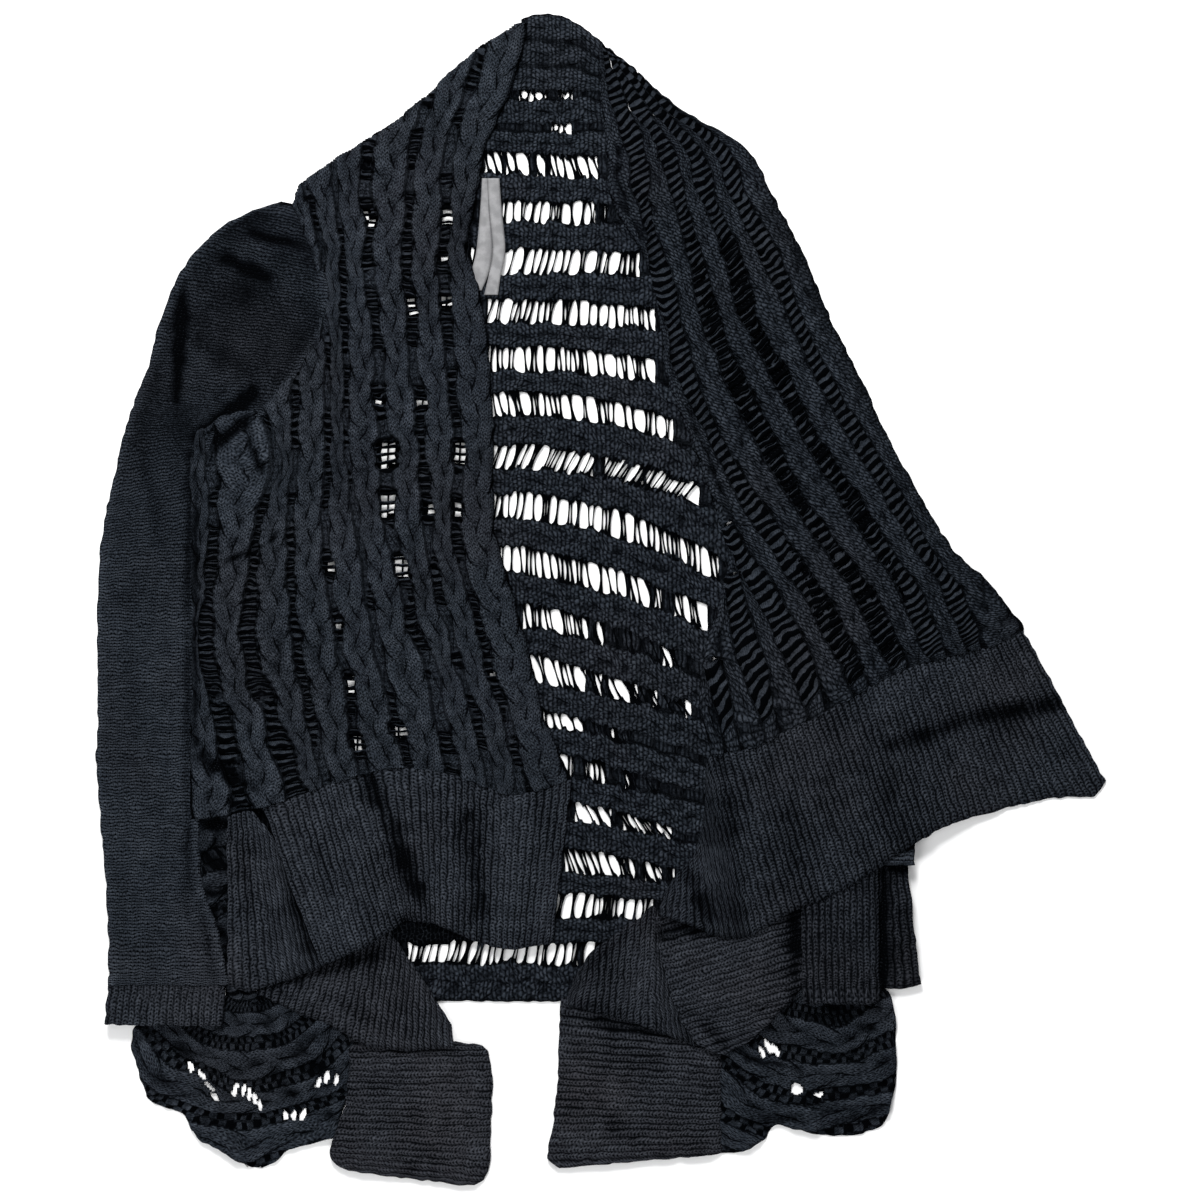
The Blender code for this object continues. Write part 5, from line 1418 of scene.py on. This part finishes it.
def rib_band(name, table, rise_by, join, faded, seed, light, creases, tucks=(0, 0, 0, 0)):
    """A rib band: ribs run from its join to its edge, raised on the outer face."""
    table = tucked(table, *tucks[:2])
    spans = middle_spans(table, "join", "edge")
    ribs = max(int(round(spans.sum() / RIB_PITCH)), 2)
    ends = np.concatenate([[0], spans.cumsum()]) / spans.sum() * ribs
    turns = np.linspace(0, ribs, RIB_LINES * ribs + 1)[:, None]
    place = np.interp(turns, ends, range(len(ends)))
    x_join, y_join, x_edge, y_edge = values_at(table, "x_join y_join x_edge y_edge", place)
    length = np.hypot(x_edge - x_join, y_edge - y_join)
    steps = max(int(length.max() / RIB_STEP), 3)
    share = np.linspace(-tucks[2] / length.mean(), 1 + tucks[3] / length.mean(),
                        steps + 1)[None, :]
    xs = x_join + (x_edge - x_join) * share
    ys = y_join + (y_edge - y_join) * share
    if join:
        at_join = join_height(join, x_join) - 0.25
        ys += np.where(x_join > join["x"][0], at_join - y_join, 0) * (1 - share)
    under_join, under_edge = [np.interp(place, range(len(ends)), table[key])
                              for key in ("under_join", "under_edge")]
    under = under_join + (under_edge - under_join) * ease(share / rise_by)
    strength = 1.2 * (1 + 0.4 * uneven(xs, ys, 20, seed + 1))
    relief = WALL + 0.4 + strength * rib_wave(turns) + 0.25 * uneven(xs, ys, 12, seed)
    relief += 1.3 * uneven(xs, ys, 30, seed + 2)
    depth = creased(xs, ys, creases)
    top = under + np.maximum(relief - depth, 1.0)
    kept = np.ones((xs.shape[0] - 1, xs.shape[1] - 1), bool)
    # Painted light: lit on the rib ridges, dark in furrows and creases, scaled by the band's light
    painted_light = light * (0.17 + 0.60 * rib_wave(turns) + 0.14 * uneven(xs, ys, 9, seed + 3)
                        + 0.16 * uneven(xs, ys, 34, seed + 5)) - 0.17 * depth
    washed = np.clip(faded + 0.25 * faded * uneven(xs, ys, 40, seed + 4), 0, 1)
    return knit_shell(name, xs, ys, under, top, kept,
                      stacked(turns * WALE, length * share, np.clip(painted_light, 0, 1)),
                      stacked(0, 0, washed), block=RIB_LINES, joined=("start",))


rib_knit = knit_material("navy_rib_knit", relief=0.0011, stitch_light=1.8, row_lines=0.1)
for name, table, rise_by, join, faded, seed, light, tucks in (
        ("left_band_front", LEFT_BAND_FRONT, 0.3, LEFT_JOIN, 0.15, 41, 0.95, (0, 0, 1, 0)),
        ("left_band_under", LEFT_BAND_UNDER, 0.8, None, 0.15, 47, 0.9, (1, 3, 5, 0)),
        ("left_band_turn", LEFT_BAND_TURN, 0.8, None, 0.35, 53, 0.95, (6, 0, 10, 2)),
        ("left_band_end", LEFT_BAND_END, 0.8, None, 0.55, 59, 0.95, (5, 0, 3, 0)),
        ("right_band_front", RIGHT_BAND_FRONT, 0.6, RIGHT_JOIN, 0.1, 61, 0.78, (0, 0, 1, 0)),
        ("right_band_under", RIGHT_BAND_UNDER, 0.8, None, 0.3, 67, 0.8, (7, 0, 5, 6)),
        ("right_band_turn", RIGHT_BAND_TURN, 0.8, None, 0.3, 71, 0.85, (0, 4, 4, 0)),
        ("right_band_end", RIGHT_BAND_END, 0.8, None, 0.45, 73, 0.9, (7, 0, 0, 2.5)),
        ("right_cuff_fold", RIGHT_CUFF_FOLD, 0.8, None, 0.25, 79, 0.55, (2, 0, 8, 0))):
    band = rib_band(name + "_cloth", table, rise_by, join, faded, seed, light,
                    BAND_CREASES[name], tucks)
    band.data.materials.append(rib_knit)
    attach(band, "root")
    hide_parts(name)
    width, length, area, rests_on = BAND_CUTS[name]

# ==== Cuffs ============================================================================
# One by one rib cuffs at the wrists, of the same cotton, lying flat as tubes. Each is
# knitted on to the end of its sleeve; the right one is turned back once at its side.

LEFT_CUFF = columns(
    SLEEVE,
    (-369, -289.3, -282, -289.3, LEVEL_1),
    (-371, -303, -282, -303, LEVEL_1),
    (-372, -318, -283, -319, LEVEL_1),
)
RIGHT_CUFF = columns(
    SLEEVE,
    (150, -199.3, 208, -199.3, LEVEL_1),
    (151, -290, 209, -290, LEVEL_1),
    (153, -303, 207, -303, LEVEL_1),
)
for node, table, light, flat, under_it in (
        ("left_cuff", LEFT_CUFF, 0.85, (0.182, 0.030), "left_cascade_cloth"),
        ("right_cuff", RIGHT_CUFF, 0.55, (0.124, 0.104), "right_cascade_cloth")):
    width = abs(table["x_b"][0] - table["x_a"][0])
    ribs = int(width / RIB_PITCH)
    xs, ys, zs, around, along, level = sleeve_tube(table, ribs * RIB_LINES + 1, 14, RIB_STEP)
    turns = (around - SLEEVE_SIDE) / (width - 2 * SLEEVE_SIDE) * ribs
    wave = rib_wave(turns)
    zs += np.where(level > 0.95, 1.0 * wave, 0)
    # Painted light: lit on the rib ridges, dark in the furrows, scaled by the cuff's light
    painted_light = np.clip(light * (0.05 + 0.75 * wave + 0.15 * uneven(xs, ys, 9, 83)), 0, 1)
    cuff = sleeve_skin(node + "_cloth", xs, ys, zs, turns * WALE, along, painted_light, faded=0.2)
    cuff.data.materials.append(rib_knit)
    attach(cuff, "root")
    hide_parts(node)

# ==== Side fold and cascades ===========================================================
# Corners of the body that fall past the bands on to the table, crumpled, with the same
# plaits and ladders bent round in curves; the light table shows through a few slits.

LEFT_SIDE_FOLD = columns(
    "x_a y_a x_b y_b",
    (-306, -160, -262, -160),
    (-305, -188, -262, -188),
    (-302, -210, -265, -210),
    (-292, -248, -264, -248),
    (-283, -289, -260, -289),
    (-282, -303, -257, -303),
)
LEFT_CASCADE = columns(
    "x_a y_a x_b y_b",
    (-326, -303, -240, -292),
    (-340, -310, -208, -304),
    (-350, -321, -184, -316),
    (-352, -328, -184, -327),
    (-353, -338, -187.3, -338),
    (-349, -349, -187.3, -349),
    (-345, -364, -189, -364),
    (-338, -377, -192, -377),
    (-315, -387, -195, -387),
    (-308, -398, -198, -398),
    (-300, -407, -202, -405),
    (-287, -413, -233, -413),
    (-274, -422, -244, -422),
    (-263, -427, -254, -427),
)
RIGHT_CASCADE = columns(
    "x_a y_a x_b y_b",
    (89.2, -331, 89.2, -416),
    (101, -326, 101, -415),
    (112, -316, 112, -413),
    (123, -304, 123, -405),
    (132, -293, 132, -395),
    (149, -289, 149, -399),
    (164, -289, 164, -402),
    (179, -289, 179, -403),
    (198, -289, 198, -401),
    (212, -291, 212, -394),
    (219, -302, 219, -377),
    (222, -324, 222, -357),
)
# Slits where the table shows: middle, half length and half width, turn in degrees
LEFT_CASCADE_SLITS = columns(
    "x y half_long half_wide turn",
    (-309, -351, 5, 1.9, 110), (-300, -357, 5, 1.9, 130), (-294, -366, 5, 1.9, 140),
    (-291, -374, 4, 2.0, 130), (-275, -369, 6, 1.9, 80), (-269, -369, 6, 1.9, 85),
    (-264, -372, 5, 1.9, 90), (-260, -375, 5, 1.9, 95), (-256, -380, 4, 1.9, 110),
    (-237, -388, 4, 2.0, 100), (-231, -388, 4, 2.0, 90), (-224, -387, 5, 2.2, 60),
    (-212, -363, 5, 1.9, 60), (-206, -359, 5, 1.9, 75), (-199, -361, 5, 1.9, 80),
)
RIGHT_CASCADE_SLITS = columns(
    "x y half_long half_wide turn",
    (121, -340, 5, 2.1, 110), (126, -336, 6, 2.3, 120), (131, -339, 5, 2.1, 110),
    (147, -368, 4.2, 4.2, 0), (164, -372, 4, 1.8, 20),
)


# Folds of the fallen corners: x y x y of the ends, how far each reaches, how deep
FALL_CREASES = {
    "left_side_fold": ((-300, -166, -266, -172, 6, 3.2), (-303, -190, -280, -204, 4, 2.6),
                       (-298, -222, -272, -218, 4, 2.6), (-292, -240, -276, -262, 4, 2.4),
                       (-284, -272, -266, -280, 5, 2.6), (-267, -170, -264, -290, 4, 2.6)),
    "left_cascade": (
        (-335, -318, -310, -345, 5, 1.8), (-258, -306, -240, -340, 6, 1.6),
        (-222, -350, -205, -356, 6, 2.6), (-250, -330, -215, -345, 5, 1.6),
        (-345, -352, -300, -380, 4, 1.2), (-300, -388, -262, -410, 4, 1.4),
        (-246, -352, -228, -378, 5, 1.4), (-212, -378, -198, -392, 5, 1.4)),
    "right_cascade": (
        (160, -294, 184, -312, 6, 3.0), (150, -312, 205, -322, 4, 1.6),
        (108, -345, 150, -352, 4, 1.8), (150, -378, 200, -366, 4, 1.4),
        (112, -392, 150, -388, 4, 1.4), (168, -396, 208, -384, 4, 1.4)),
}


FALL_STEP = 1.5          # of the fallen corners' grids
FALL_PITCH = 31.0        # from plait to plait of a fallen corner
FALL_HALF = 10.5         # half of a plait's width there


def crumpled(name, table, curve_centre, slits, bow, creases, light, seed):
    """A fallen corner of the body: plaits and ladders in arcs about a far centre."""
    spans = middle_spans(table, "a", "b")
    widths = np.hypot(table["x_b"] - table["x_a"], table["y_b"] - table["y_a"])
    rows = int(spans.sum() / FALL_STEP) + 1
    across = int(widths.max() / FALL_STEP) + 1
    travelled = np.concatenate([[0], spans.cumsum()])
    travel = np.linspace(0, travelled[-1], rows)[:, None]
    place = np.interp(travel, travelled, range(len(travelled)))
    share = np.linspace(0, 1, across)[None, :]
    x_a, y_a, x_b, y_b = values_at(table, "x_a y_a x_b y_b", place)
    xs = x_a + (x_b - x_a) * share
    ys = y_a + (y_b - y_a) * share
    away_x = xs - curve_centre[0] + 6 * uneven(xs, ys, 30, seed)
    away_y = ys - curve_centre[1] + 6 * uneven(xs, ys, 30, seed + 1)
    radius = np.hypot(away_x, away_y)
    along = np.unwrap(np.arctan2(away_y, away_x)) * bow
    band = np.floor(radius / FALL_PITCH)
    offset = radius - (band + 0.5) * FALL_PITCH
    ladder = (np.abs(offset) > FALL_HALF).astype(float)
    along = along + 21 * band
    across_plait = np.clip(offset / (FALL_HALF + 1.0), -1.2, 1.2)
    braid = plait(across_plait, along)
    rung_turn = along / 6.2
    cable_top = 3.0 + 1.9 * np.maximum(braid, -0.4) + 0.8 * uneven(xs, ys, 7, seed + 2)
    cable_top += 1.2 * uneven(xs, ys, 22, seed + 3)
    rung_top = 1.6 + 1.1 * np.maximum(np.cos(2 * math.pi * rung_turn), -0.6)
    depth = creased(xs, ys, creases)
    top = np.clip(softened(np.where(ladder > 0, rung_top, cable_top)) - depth, 0.6, 6.4)
    cell_x, cell_y = cell_middles(xs, ys)
    kept = np.ones(cell_x.shape, bool)
    if slits is not None:
        for x, y, half_long, half_wide, turn in zip(*slits.values()):
            away_x, away_y = cell_x - x, cell_y - y
            cos, sin = math.cos(math.radians(turn)), math.sin(math.radians(turn))
            long_way = (away_x * cos + away_y * sin) / half_long
            wide_way = (away_y * cos - away_x * sin) / half_wide
            kept &= long_way ** 2 + wide_way ** 2 > 1
    # Painted light: darker in creases and hollows, bare rungs kept lit, scaled by the corner's light
    painted_light = stood_up(top, 3, 3.6) - 0.13 * depth + 0.12 * uneven(xs, ys, 24, seed + 4)
    painted_light = np.where(ladder > 0, np.maximum(painted_light, 0.42 - 0.13 * depth), painted_light)
    yarn = stacked(np.where(ladder > 0, offset, across_plait), along,
                   np.clip(light * painted_light, 0, 1))
    return knit_shell(name, xs, ys, np.zeros_like(xs), top, kept, yarn,
                      stacked(ladder, rung_turn, 0))


for name, table, centre, slits, bow, seed, light, flat, area in (
        ("left_side_fold", LEFT_SIDE_FOLD, (-330, -150), None, 60.0, 91, 0.6,
         (0.049, 0.144), 0.0047),
        ("left_cascade", LEFT_CASCADE, (-265, -270), LEFT_CASCADE_SLITS, 75.0, 95, 0.95,
         (0.171, 0.135), 0.0170),
        ("right_cascade", RIGHT_CASCADE, (170, -250), RIGHT_CASCADE_SLITS, 75.0, 99, 0.9,
         (0.134, 0.128), 0.0138)):
    fall = crumpled(name + "_cloth", table, centre, slits, bow, FALL_CREASES[name], light, seed)
    fall.data.materials.append(right_side_knit)
    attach(fall, "root")
    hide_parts(name)

# ==== Neck label =======================================================================
# A blank ribbon label at the neck: one length of grey woven tape, folded into two strips
# that lie side by side, and sewn to the inside of the back at its upper end.

LABEL_Z = 4.4            # height of its underside, on the back's knit
LABEL_WALL = 0.8
TAPE_ROWS = 40           # grid lines down a strip
TAPE_LINES = 7           # and across it
LABEL_STRIPS = (
    columns("y x_a x_b", (316, -89, -85.4), (292, -90.5, -84), (262, -93.4, -81.5),
            (243, -97, -85), (232, -90.5, -90)),
    columns("y x_a x_b", (316, -85.0, -76.4), (292, -83.6, -74.6), (262, -81.1, -72),
            (243, -84.2, -75.4), (228.5, -87.6, -77.4)),
)
points, faces, label_yarn = [], [], []
for strip in LABEL_STRIPS:
    start = len(points)
    place = np.linspace(0, len(strip["y"]) - 1, TAPE_ROWS)
    y, x_a, x_b = values_at(strip, "y x_a x_b", place)
    for row in range(TAPE_ROWS):
        for column in range(TAPE_LINES):
            share = column / (TAPE_LINES - 1)
            x = x_a[row] + (x_b[row] - x_a[row]) * share
            bow = 0.5 * math.sin(math.pi * share) + 0.35 * float(uneven(x, y[row], 16, 5))
            points.append((x, y[row], LABEL_Z + bow))
            label_yarn.append((x, y[row], 0.7))
    for row in range(TAPE_ROWS - 1):
        for column in range(TAPE_LINES - 1):
            corner = start + row * TAPE_LINES + column
            below = corner + TAPE_LINES
            faces.append((corner, below, below + 1, corner + 1))
label_yarn = np.array(label_yarn)
neck_label = knit_object("ribbon_label", np.array(points), faces, label_yarn,
                         np.zeros_like(label_yarn))
thicken = neck_label.modifiers.new("tape", "SOLIDIFY")
thicken.thickness = LABEL_WALL / 1000
thicken.offset = 1
ribbon = bpy.data.materials.new("grey_ribbon")
ribbon.use_nodes = True
tree = ribbon.node_tree
shader = tree.nodes["Principled BSDF"]
spots = tree.nodes.new("ShaderNodeTexCoord")
parts = tree.nodes.new("ShaderNodeSeparateXYZ")
tree.links.new(spots.outputs["Object"], parts.inputs[0])
warp = math_node(tree, "SINE", math_node(tree, "MULTIPLY", parts.outputs[0], 2 * math.pi / 0.0009))
weft = math_node(tree, "SINE", math_node(tree, "MULTIPLY", parts.outputs[1], 2 * math.pi / 0.0007))
weave = math_node(tree, "MULTIPLY_ADD", math_node(tree, "MULTIPLY", warp, weft), 0.5, 0.5)
fibre = use_group(tree, cotton, {"Vector": spots.outputs["Object"]})
tone = math_node(tree, "MULTIPLY_ADD", weave, 0.35, math_node(tree, "MULTIPLY",
                                                          fibre.outputs["Mottle"], 0.5))
colour = blend_colour(tree, tone, (0.115, 0.115, 0.12, 1), (0.26, 0.26, 0.265, 1))
tree.links.new(colour, shader.inputs["Base Color"])
shader.inputs["Roughness"].default_value = 0.6
bump = tree.nodes.new("ShaderNodeBump")
bump.inputs["Strength"].default_value = 0.35
bump.inputs["Distance"].default_value = 0.0002
tree.links.new(weave, bump.inputs["Height"])
tree.links.new(bump.outputs["Normal"], shader.inputs["Normal"])
neck_label.data.materials.append(ribbon)
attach(neck_label, "root")
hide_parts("neck_label")

# ==== Table, light and camera ==========================================================
# A plain white table top, a broad soft light from the upper left, and a camera straight
# above, as in the photograph.

TABLE_Z = -0.0005        # metres, just under the cloth
floor = bpy.data.meshes.new("table")
floor.from_pydata([(x, y, TABLE_Z) for x, y in ((-3, -3), (3, -3), (3, 3), (-3, 3))],
                  [], [(0, 1, 2, 3)])
table_top = bpy.data.objects.new("table_top", floor)
bpy.context.scene.collection.objects.link(table_top)
white = bpy.data.materials.new("white_table")
white.use_nodes = True
white.node_tree.nodes["Principled BSDF"].inputs["Base Color"].default_value = (0.90, 0.90, 0.90, 1)
white.node_tree.nodes["Principled BSDF"].inputs["Roughness"].default_value = 0.9
floor.materials.append(white)

for title, place, size, power in (("key", (-0.35, 1.5, 1.5), 0.7, 62),
                                  ("low_fill", (-1.1, -1.2, 1.6), 1.2, 26),
                                  ("high_fill", (0.8, 0.3, 2.6), 1.6, 18)):
    light = bpy.data.lights.new(title, "AREA")
    light.shape = "SQUARE"
    light.size = size
    light.energy = power
    lamp = bpy.data.objects.new(title, light)
    lamp.location = place
    aim = np.array(place) / np.linalg.norm(place)
    lamp.rotation_euler = (math.acos(aim[2]), 0, math.atan2(aim[0], -aim[1]))
    bpy.context.scene.collection.objects.link(lamp)
world = bpy.data.worlds.new("room_light")
world.use_nodes = True
world.node_tree.nodes["Background"].inputs["Color"].default_value = (0.95, 0.97, 1.0, 1)
world.node_tree.nodes["Background"].inputs["Strength"].default_value = 0.22
bpy.context.scene.world = world
bpy.context.scene.view_settings.view_transform = "Standard"

HEIGHT = 2.5             # metres from the cloth's mean height to the camera
MEAN_Z = 0.006           # metres, that mean height
CENTRE = (-0.00075, -0.0004)     # metres, the spot on the cloth in the middle of the photograph
FRAME = 0.9              # metres that the photograph takes in, at the cloth
SENSOR = 36              # mm
lens = bpy.data.cameras.new("camera")
lens.sensor_fit = "HORIZONTAL"
lens.sensor_width = SENSOR
lens.lens = SENSOR * HEIGHT / FRAME
camera = bpy.data.objects.new("camera", lens)
camera.location = (*CENTRE, HEIGHT + MEAN_Z)
bpy.context.scene.collection.objects.link(camera)
bpy.context.scene.camera = camera
